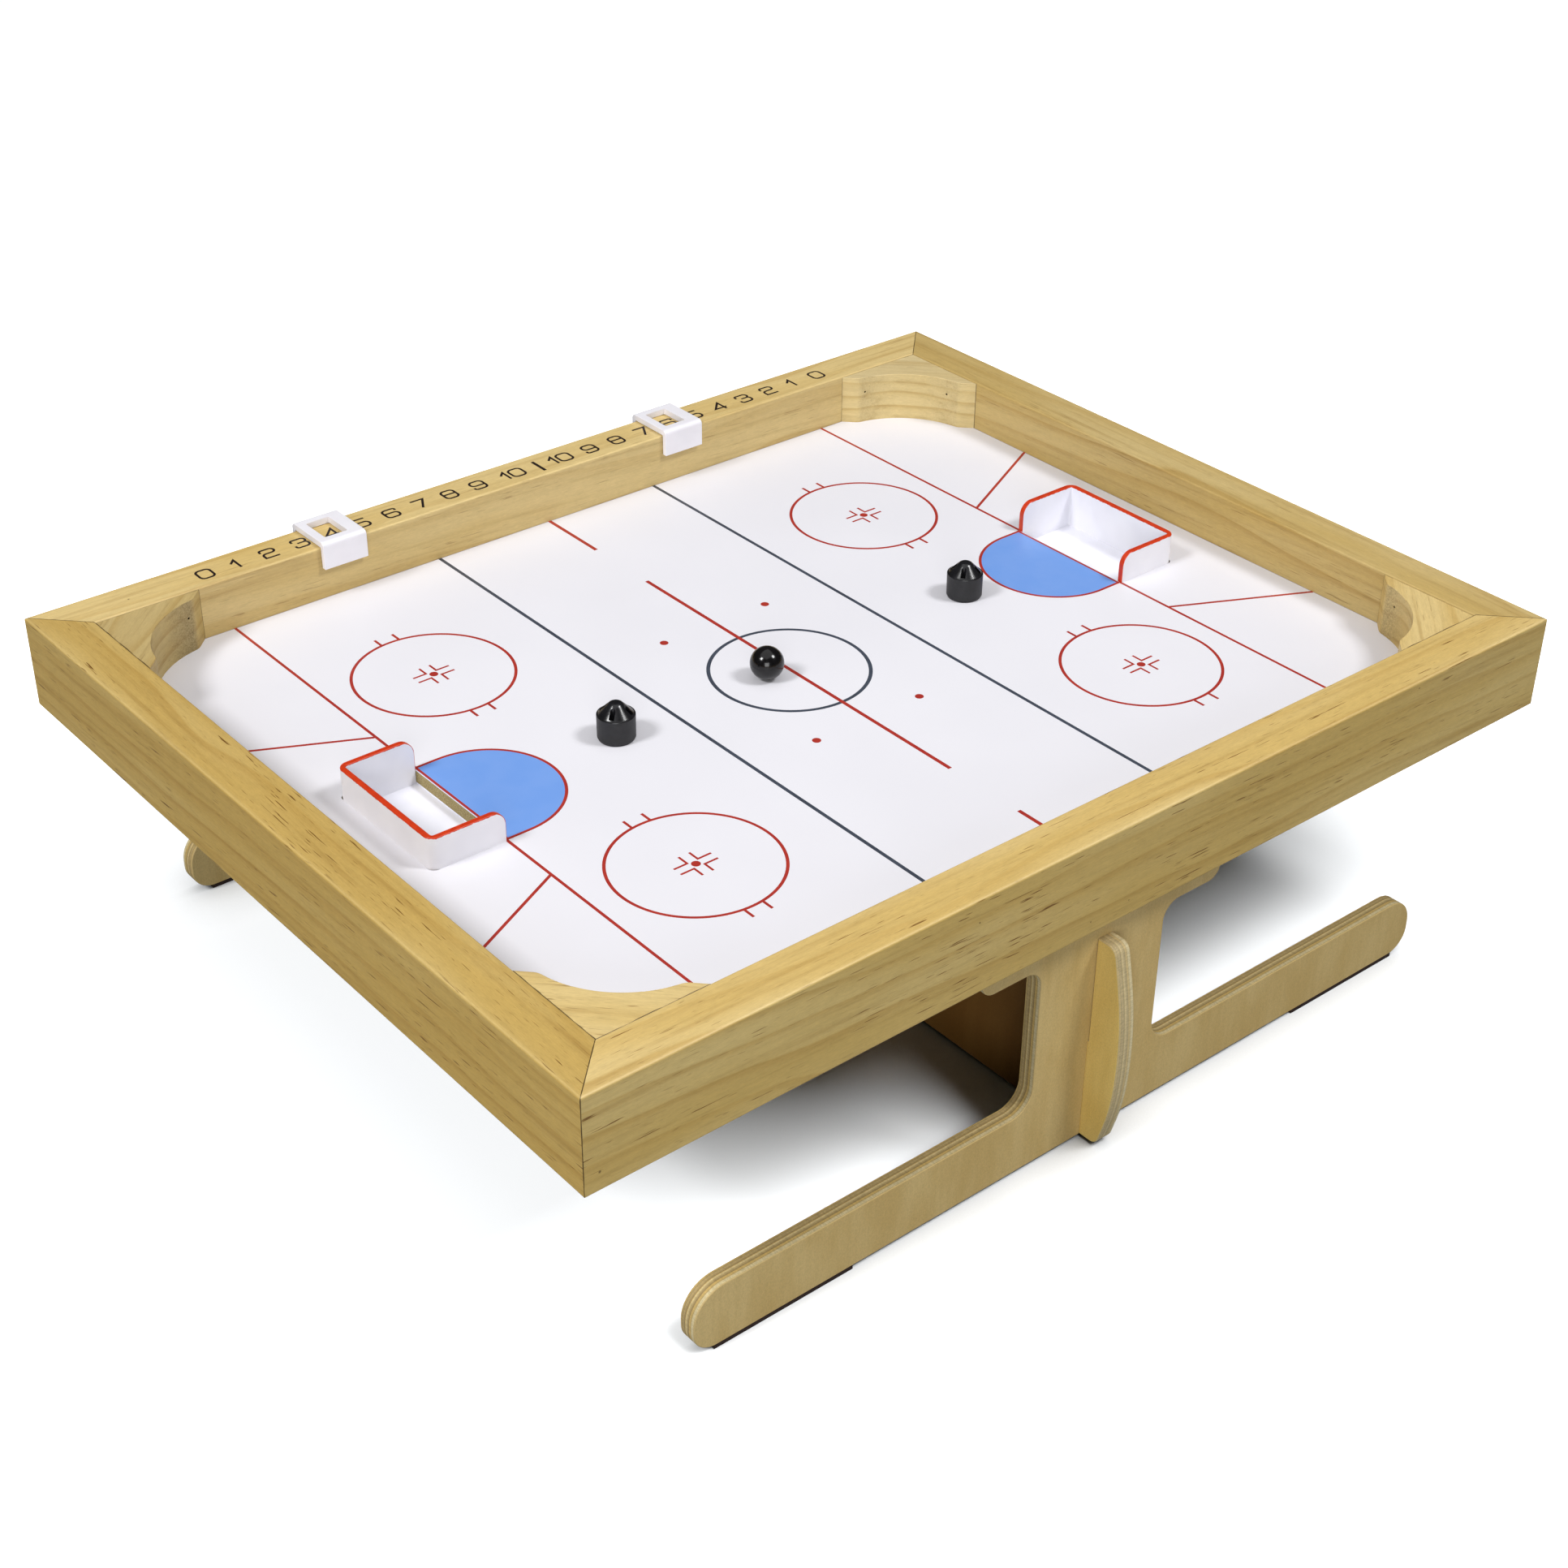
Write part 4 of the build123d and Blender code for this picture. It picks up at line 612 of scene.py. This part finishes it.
screw_mat = metal("screw_zinc", "#C8C8C6", "#ADAEAE", 0.32, "z")
give("goal_screws_left", screw_mat)
give("goal_screws_right", screw_mat)
pad_mat = rubber("pad_dark")
for c in ("front_left", "front_right", "back_left", "back_right"):
    give("foot_pad_" + c, pad_mat)


# ------------------------------------------------------------------ printed lines
class Print:
    """Thin closed prisms of ink, gathered into one mesh piece."""

    def __init__(self, name, base_mm, mat):
        self.name, self.base, self.mat = name, base_mm, mat
        self.bm = bmesh.new()
        self.count = 0

    def levels(self, lift):
        self.count += 1
        z0 = (self.base - 0.02) * MM
        z1 = (self.base + lift + 0.0006 * self.count) * MM
        return z0, z1

    def poly(self, pts, lift=0.03):
        z0, z1 = self.levels(lift)
        low = [self.bm.verts.new((x * MM, y * MM, z0)) for x, y in pts]
        high = [self.bm.verts.new((x * MM, y * MM, z1)) for x, y in pts]
        self.bm.faces.new(high)
        self.bm.faces.new(list(reversed(low)))
        n = len(pts)
        for i in range(n):
            j = (i + 1) % n
            self.bm.faces.new((low[i], low[j], high[j], high[i]))

    def stroke(self, pts, width, closed=False, lift=0.03):
        """A line of even width along pts, mitred at its corners."""
        z0, z1 = self.levels(lift)
        p = [Vector(q) for q in pts]
        n = len(p)
        left, right = [], []
        for i in range(n):
            if closed:
                a, b = p[i] - p[i - 1], p[(i + 1) % n] - p[i]
            else:
                a = p[i] - p[i - 1] if i else p[1] - p[0]
                b = p[i + 1] - p[i] if i < n - 1 else p[-1] - p[-2]
            a, b = a.normalized(), b.normalized()
            na, nb = Vector((-a.y, a.x)), Vector((-b.y, b.x))
            t = (na + nb)
            t = t.normalized() if t.length > 1e-6 else na
            k = 1.0 / max(0.35, t.dot(na))
            left.append(p[i] + t * (width / 2 * k))
            right.append(p[i] - t * (width / 2 * k))
        v = [[self.bm.verts.new((q.x * MM, q.y * MM, z)) for q in row]
             for row, z in ((left, z0), (right, z0), (left, z1), (right, z1))]
        ll, rl, lh, rh = v
        for i in range(n if closed else n - 1):
            j = (i + 1) % n
            self.bm.faces.new((rh[i], rh[j], lh[j], lh[i]))
            self.bm.faces.new((ll[i], ll[j], rl[j], rl[i]))
            self.bm.faces.new((lh[i], lh[j], ll[j], ll[i]))
            self.bm.faces.new((rl[i], rl[j], rh[j], rh[i]))
        if not closed:
            self.bm.faces.new((ll[0], rl[0], rh[0], lh[0]))
            self.bm.faces.new((rl[-1], ll[-1], lh[-1], rh[-1]))

    def dot(self, x, y, r, lift=0.03):
        self.poly([(x + r * math.cos(a), y + r * math.sin(a))
                   for a in (2 * math.pi * i / 40 for i in range(40))], lift)

    def done(self, body):
        bmesh.ops.recalc_face_normals(self.bm, faces=self.bm.faces)
        me = bpy.data.meshes.new(self.name)
        self.bm.to_mesh(me)
        self.bm.free()
        me.materials.append(self.mat)
        o = bpy.data.objects.new(self.name, me)
        scene.collection.objects.link(o)
        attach(o, body)
        return o


def arc(cx, cy, r, a0, a1, n=24):
    return [(cx + r * math.cos(math.radians(a0 + (a1 - a0) * i / n)),
             cy + r * math.sin(math.radians(a0 + (a1 - a0) * i / n))) for i in range(n + 1)]


def rounded(pts, radii, closed=False, n=7):
    """Polyline with its corners turned into arcs; radii is one number or one per point."""
    p = [Vector(q) for q in pts]
    m = len(p)
    rr = [radii] * m if isinstance(radii, (int, float)) else list(radii)
    out = []
    for i in range(m):
        if (not closed and i in (0, m - 1)) or rr[i] <= 0:
            out.append(tuple(p[i]))
            continue
        a, b = (p[i - 1] - p[i]), (p[(i + 1) % m] - p[i])
        la, lb = a.length, b.length
        a, b = a.normalized(), b.normalized()
        half = math.acos(max(-1, min(1, a.dot(b)))) / 2
        cut = min(rr[i] / math.tan(half), la * 0.49, lb * 0.49)
        rad = cut * math.tan(half)
        s, e = p[i] + a * cut, p[i] + b * cut
        c = p[i] + (a + b).normalized() * (rad / math.sin(half))
        vs, ve = s - c, e - c
        ang = math.atan2(vs.x * ve.y - vs.y * ve.x, vs.dot(ve))
        for k in range(n + 1):
            t = ang * k / n
            out.append((c.x + vs.x * math.cos(t) - vs.y * math.sin(t),
                        c.y + vs.x * math.sin(t) + vs.y * math.cos(t)))
    return out


red = Print("print_red_lines", RINK, ink("print_red", "#A52E26", "#AE362A"))
slate = Print("print_slate_lines", RINK, ink("print_slate", "#3C424E", "#444B58"))
blue = Print("print_crease_fill", RINK, ink("print_blue", "#719CE2", "#769FE3", rough=0.36))

GL = 186.2                      # goal line
for sx in (-1, 1):
    # goal line, full width, kept off the pocket's edge in the goal mouth
    for sy in (-1, 1):
        gx = {(-1, -1): 186.2, (-1, 1): 185.6, (1, -1): 186.4, (1, 1): 186.8}[(sx, sy)]
        red.stroke([(sx * gx, sy * IY), (sx * gx, sy * 36.6)], 1.5, lift=0.040)
    red.stroke([(sx * 185.45, -36.8), (sx * 185.45, 36.8)], 1.25, lift=0.041)
    # slate zone line
    slate.stroke([(sx * 68.2, -IY), (sx * 68.2, IY)], 1.9)
    # crease: straight sides, then a half round
    cr, straight = 36.2, 12.7
    cx = GL - straight
    outline = [(sx * GL, cr)] + [(sx * (cx - cr * math.sin(math.radians(t))),
                                  cr * math.cos(math.radians(t))) for t in range(0, 181, 4)]
    outline += [(sx * GL, -cr)]
    blue.poly(outline, lift=0.020)
    red.stroke(outline, 1.45, lift=0.034)
    for sy in (-1, 1):
        # behind-goal lines
        red.stroke([(sx * GL, sy * 69.5), (sx * (IX), sy * 104.0)], 1.5, lift=0.032)
        # end-zone circle
        fx, fy, fr = sx * 134.3, sy * 101.0, 38.6
        red.stroke(arc(fx, fy, fr, 0, 360 - 360 / 96, 95), 1.5, closed=True)
        red.dot(fx, fy, 2.1, lift=0.036)
        for qx in (-1, 1):
            for qy in (-1, 1):
                red.stroke([(fx + qx * 9.9, fy + qy * 2.4), (fx + qx * 2.8, fy + qy * 2.4),
                            (fx + qx * 2.8, fy + qy * 8.4)], 1.1)
            for qy in (-1, 1):
                top = math.sqrt((fr + 0.3) ** 2 - 4.9 ** 2)
                red.stroke([(fx + qx * 4.9, fy + qy * top), (fx + qx * 4.9, fy + qy * (top + 6.3))], 1.35)
        # neutral spots
        red.dot(sx * 31.3, sy * 57.2, 2.1)
# centre line: a long middle run and a short end at each rail
red.stroke([(0, -112.5), (0, 113.0)], 2.0)
for sy in (-1, 1):
    red.stroke([(0, sy * 156.4), (0, sy * IY)], 2.0)
slate.stroke(arc(0, 0, 38.6, 0, 360 - 360 / 112, 111), 1.85, closed=True, lift=0.036)
for p in (red, slate, blue):
    p.done("table")

# ------------------------------------------------------------------ score numbers
W, H = 7.4, 8.7
mid = 0.53 * H
GLYPH = {
    "0": [(rounded([(0, 0), (W, 0), (W, H), (0, H)], 2.3, True), True)],
    "1": [([(W * 0.5 - 3.0, H - 3.3), (W * 0.5, H - 0.1), (W * 0.5, 0)], False)],
    "2": [(rounded([(0, H - 2.6), (0, H), (W, H), (W, mid), (0, mid - 0.2), (0, 0), (W, 0)],
                   [0, 2.2, 2.2, 2.0, 2.0, 0, 0]), False)],
    "3": [(rounded([(0, H - 2.5), (0, H), (W, H), (W, mid), (W * 0.30, mid)],
                   [0, 2.2, 2.2, 2.0, 0]), False),
          (rounded([(W * 0.55, mid), (W, mid), (W, 0), (0, 0), (0, 2.4)],
                   [0, 2.0, 2.2, 2.2, 0]), False)],
    "4": [([(W * 0.78, 0), (W * 0.78, H), (0, H * 0.27), (W, H * 0.27)], False)],
    "5": [(rounded([(W, H), (0.15, H), (0.0, mid + 0.3), (W, mid + 0.3), (W, 0), (0, 0), (0, 2.2)],
                   [0, 0, 0.6, 2.2, 2.2, 2.2, 0]), False)],
    "6": [(rounded([(W, H - 2.2), (W, H), (0, H), (0, 0), (W, 0), (W, mid + 0.2), (0.1, mid + 0.2)],
                   [0, 2.2, 2.3, 2.3, 2.2, 2.0, 0]), False)],
    "7": [([(0, H), (W, H), (W * 0.34, 0)], False)],
    "8": [(rounded([(0.1, 0), (W - 0.1, 0), (W - 0.1, H), (0.1, H)], 2.2, True), True),
          ([(0.5, mid), (W - 0.5, mid)], False)],
    "9": [(rounded([(0, 2.2), (0, 0), (W, 0), (W, H), (0, H), (0, H - mid - 0.2 + 0.0), (W - 0.1, H - mid - 0.2)],
                   [0, 2.2, 2.3, 2.3, 2.2, 2.0, 0]), False)],
}
numbers = Print("score_numbers", RAIL_TOP, ink("score_ink", "#1C120F", "#261813", 0.5, thin=0.15, under="#7A6238"))
BASE_Y = 209.3 - H / 2


def glyph(ch, cx):
    for pts, closed in GLYPH[ch]:
        numbers.stroke([(cx - W / 2 + px, BASE_Y + py) for px, py in pts], 1.26, closed, lift=0.028)


for n in range(10):
    for sx, start in ((-1, 192.5), (1, 191.8)):
        glyph(str(n), sx * (start - 17.43 * n))
for cx in (-14.9, 15.2):
    glyph("1", cx - 3.0)
    glyph("0", cx + 3.3)
numbers.stroke([(1.6, 202.3), (1.6, 214.7)], 1.75)
numbers.done("table")

# ------------------------------------------------------------------ stage
bpy.ops.mesh.primitive_plane_add(size=12.0, location=(0, 0, 0))
floor = bpy.context.object
floor.name = "floor"
# The paper sweep reads white to the camera and gives back less light than it
# shows, as if grey flags stood round the table.
fs = Shade("floor_white")
fx_, fy_, fz_ = fs.pos()
fn = fs.noise(fs.mul(fx_, 0.002), fs.mul(fy_, 0.002), 0.0, 2.0)
seen = fs.new("ShaderNodeBsdfDiffuse")
# painted shadow: ambient occlusion darkens the sweep's seen white near the feet and under the table, as a contact
# shadow
contact_shadow_ao = fs.new("ShaderNodeAmbientOcclusion", samples=12)
contact_shadow_ao.inputs["Distance"].default_value = 0.040
white = fs.mix(fn, (0.96, 0.98, 1.00, 1.0), (0.98, 1.00, 1.02, 1.0))
fs.link(fs.gain(white, fs.lerp(contact_shadow_ao.outputs["AO"], 0.20, 1.0)), seen.inputs["Color"])
bounced = fs.new("ShaderNodeBsdfDiffuse")
fs.link(fs.mix(fn, (0.10, 0.115, 0.14, 1.0), (0.11, 0.125, 0.15, 1.0)), bounced.inputs["Color"])
ray = fs.new("ShaderNodeLightPath")
two = fs.new("ShaderNodeMixShader")
fs.link(ray.outputs["Is Camera Ray"], two.inputs[0])
fs.link(bounced.outputs[0], two.inputs[1])
fs.link(seen.outputs[0], two.inputs[2])
fs.link(two.outputs[0], fs.out.inputs["Surface"])
floor.data.materials.append(fs.mat)

world = bpy.data.worlds.new("studio")
scene.world = world
world.use_nodes = True
bg = world.node_tree.nodes["Background"]
bg.inputs["Color"].default_value = (1.0, 1.0, 1.0, 1.0)
bg.inputs["Strength"].default_value = 0.045


def softbox(name, at, aim, size, radiance, tint=(1.0, 1.0, 1.0)):
    """Square soft light whose surface has the given radiance."""
    data = bpy.data.lights.new(name, "AREA")
    data.shape = "SQUARE"
    data.size = size
    data.color = tint
    data.energy = math.pi * size * size * radiance
    o = bpy.data.objects.new(name, data)
    o.location = at
    o.rotation_mode = "QUATERNION"
    o.rotation_quaternion = (Vector(aim) - Vector(at)).to_track_quat("-Z", "Y")
    scene.collection.objects.link(o)
    return o


def aimed(name, heading, elevation, reach, size, share):
    """A softbox that puts share of the light on level surfaces at the table."""
    h = Vector(heading).normalized()
    e = math.radians(elevation)
    mid_ = Vector((0.0, 0.0, 0.145))
    at = mid_ + reach * Vector((h.x * math.cos(e), h.y * math.cos(e), math.sin(e)))
    solid = size * size / (reach * reach)
    return softbox(name, tuple(at), tuple(mid_), size, share * math.pi / (solid * math.sin(e)))


def linked(light, name, state):
    """Links a light to the sweep alone, or to everything but the sweep."""
    c = bpy.data.collections.new(name)
    c.objects.link(floor)
    light.light_linking.receiver_collection = c
    c.collection_objects[0].light_linking.link_state = state


softbox("overhead", (0.0, 0.0, 2.6), (0, 0, 0.15), 2.9, 0.90)
aimed("side_left", (-0.998, 0.092), 45.0, 3.4, 0.78, 0.385)
aimed("side_right", (0.612, -0.788), 52.0, 3.4, 0.78, 0.385)
# the low fill is flagged off the sweep, so the shadow under the table stays deep
linked(aimed("front_fill", (-0.640, -0.769), 15.0, 3.4, 1.60, 0.100), "not_sweep", "EXCLUDE")
# two lights for the sweep alone, which whiten it in front and on the left
linked(aimed("sweep_front", (0.05, -1.0), 54.0, 3.4, 1.35, 0.75), "sweep_front_only", "INCLUDE")
linked(aimed("sweep_left", (-1.0, 0.05), 36.0, 3.4, 0.90, 0.45), "sweep_left_only", "INCLUDE")

# ------------------------------------------------------------------ camera
cam_data = bpy.data.cameras.new("photo_camera")
cam = bpy.data.objects.new("photo_camera", cam_data)
scene.collection.objects.link(cam)
cam_data.sensor_fit = "HORIZONTAL"
cam_data.sensor_width = 36.0
cam_data.lens = 57.513
cam_data.clip_start, cam_data.clip_end = 0.05, 40.0
cam_data.dof.use_dof = False
ax_r = Vector((0.7723959, -0.6350744, 0.0092232))
ax_d = Vector((-0.3372658, -0.4224110, -0.8413208))
ax_f = Vector((0.5381973, 0.6467221, -0.5404574))
rot = Matrix((ax_r, -ax_d, -ax_f)).transposed()
cam.matrix_world = Matrix.Translation((-0.660364, -0.790337, 0.741771)) @ rot.to_4x4()
scene.camera = cam
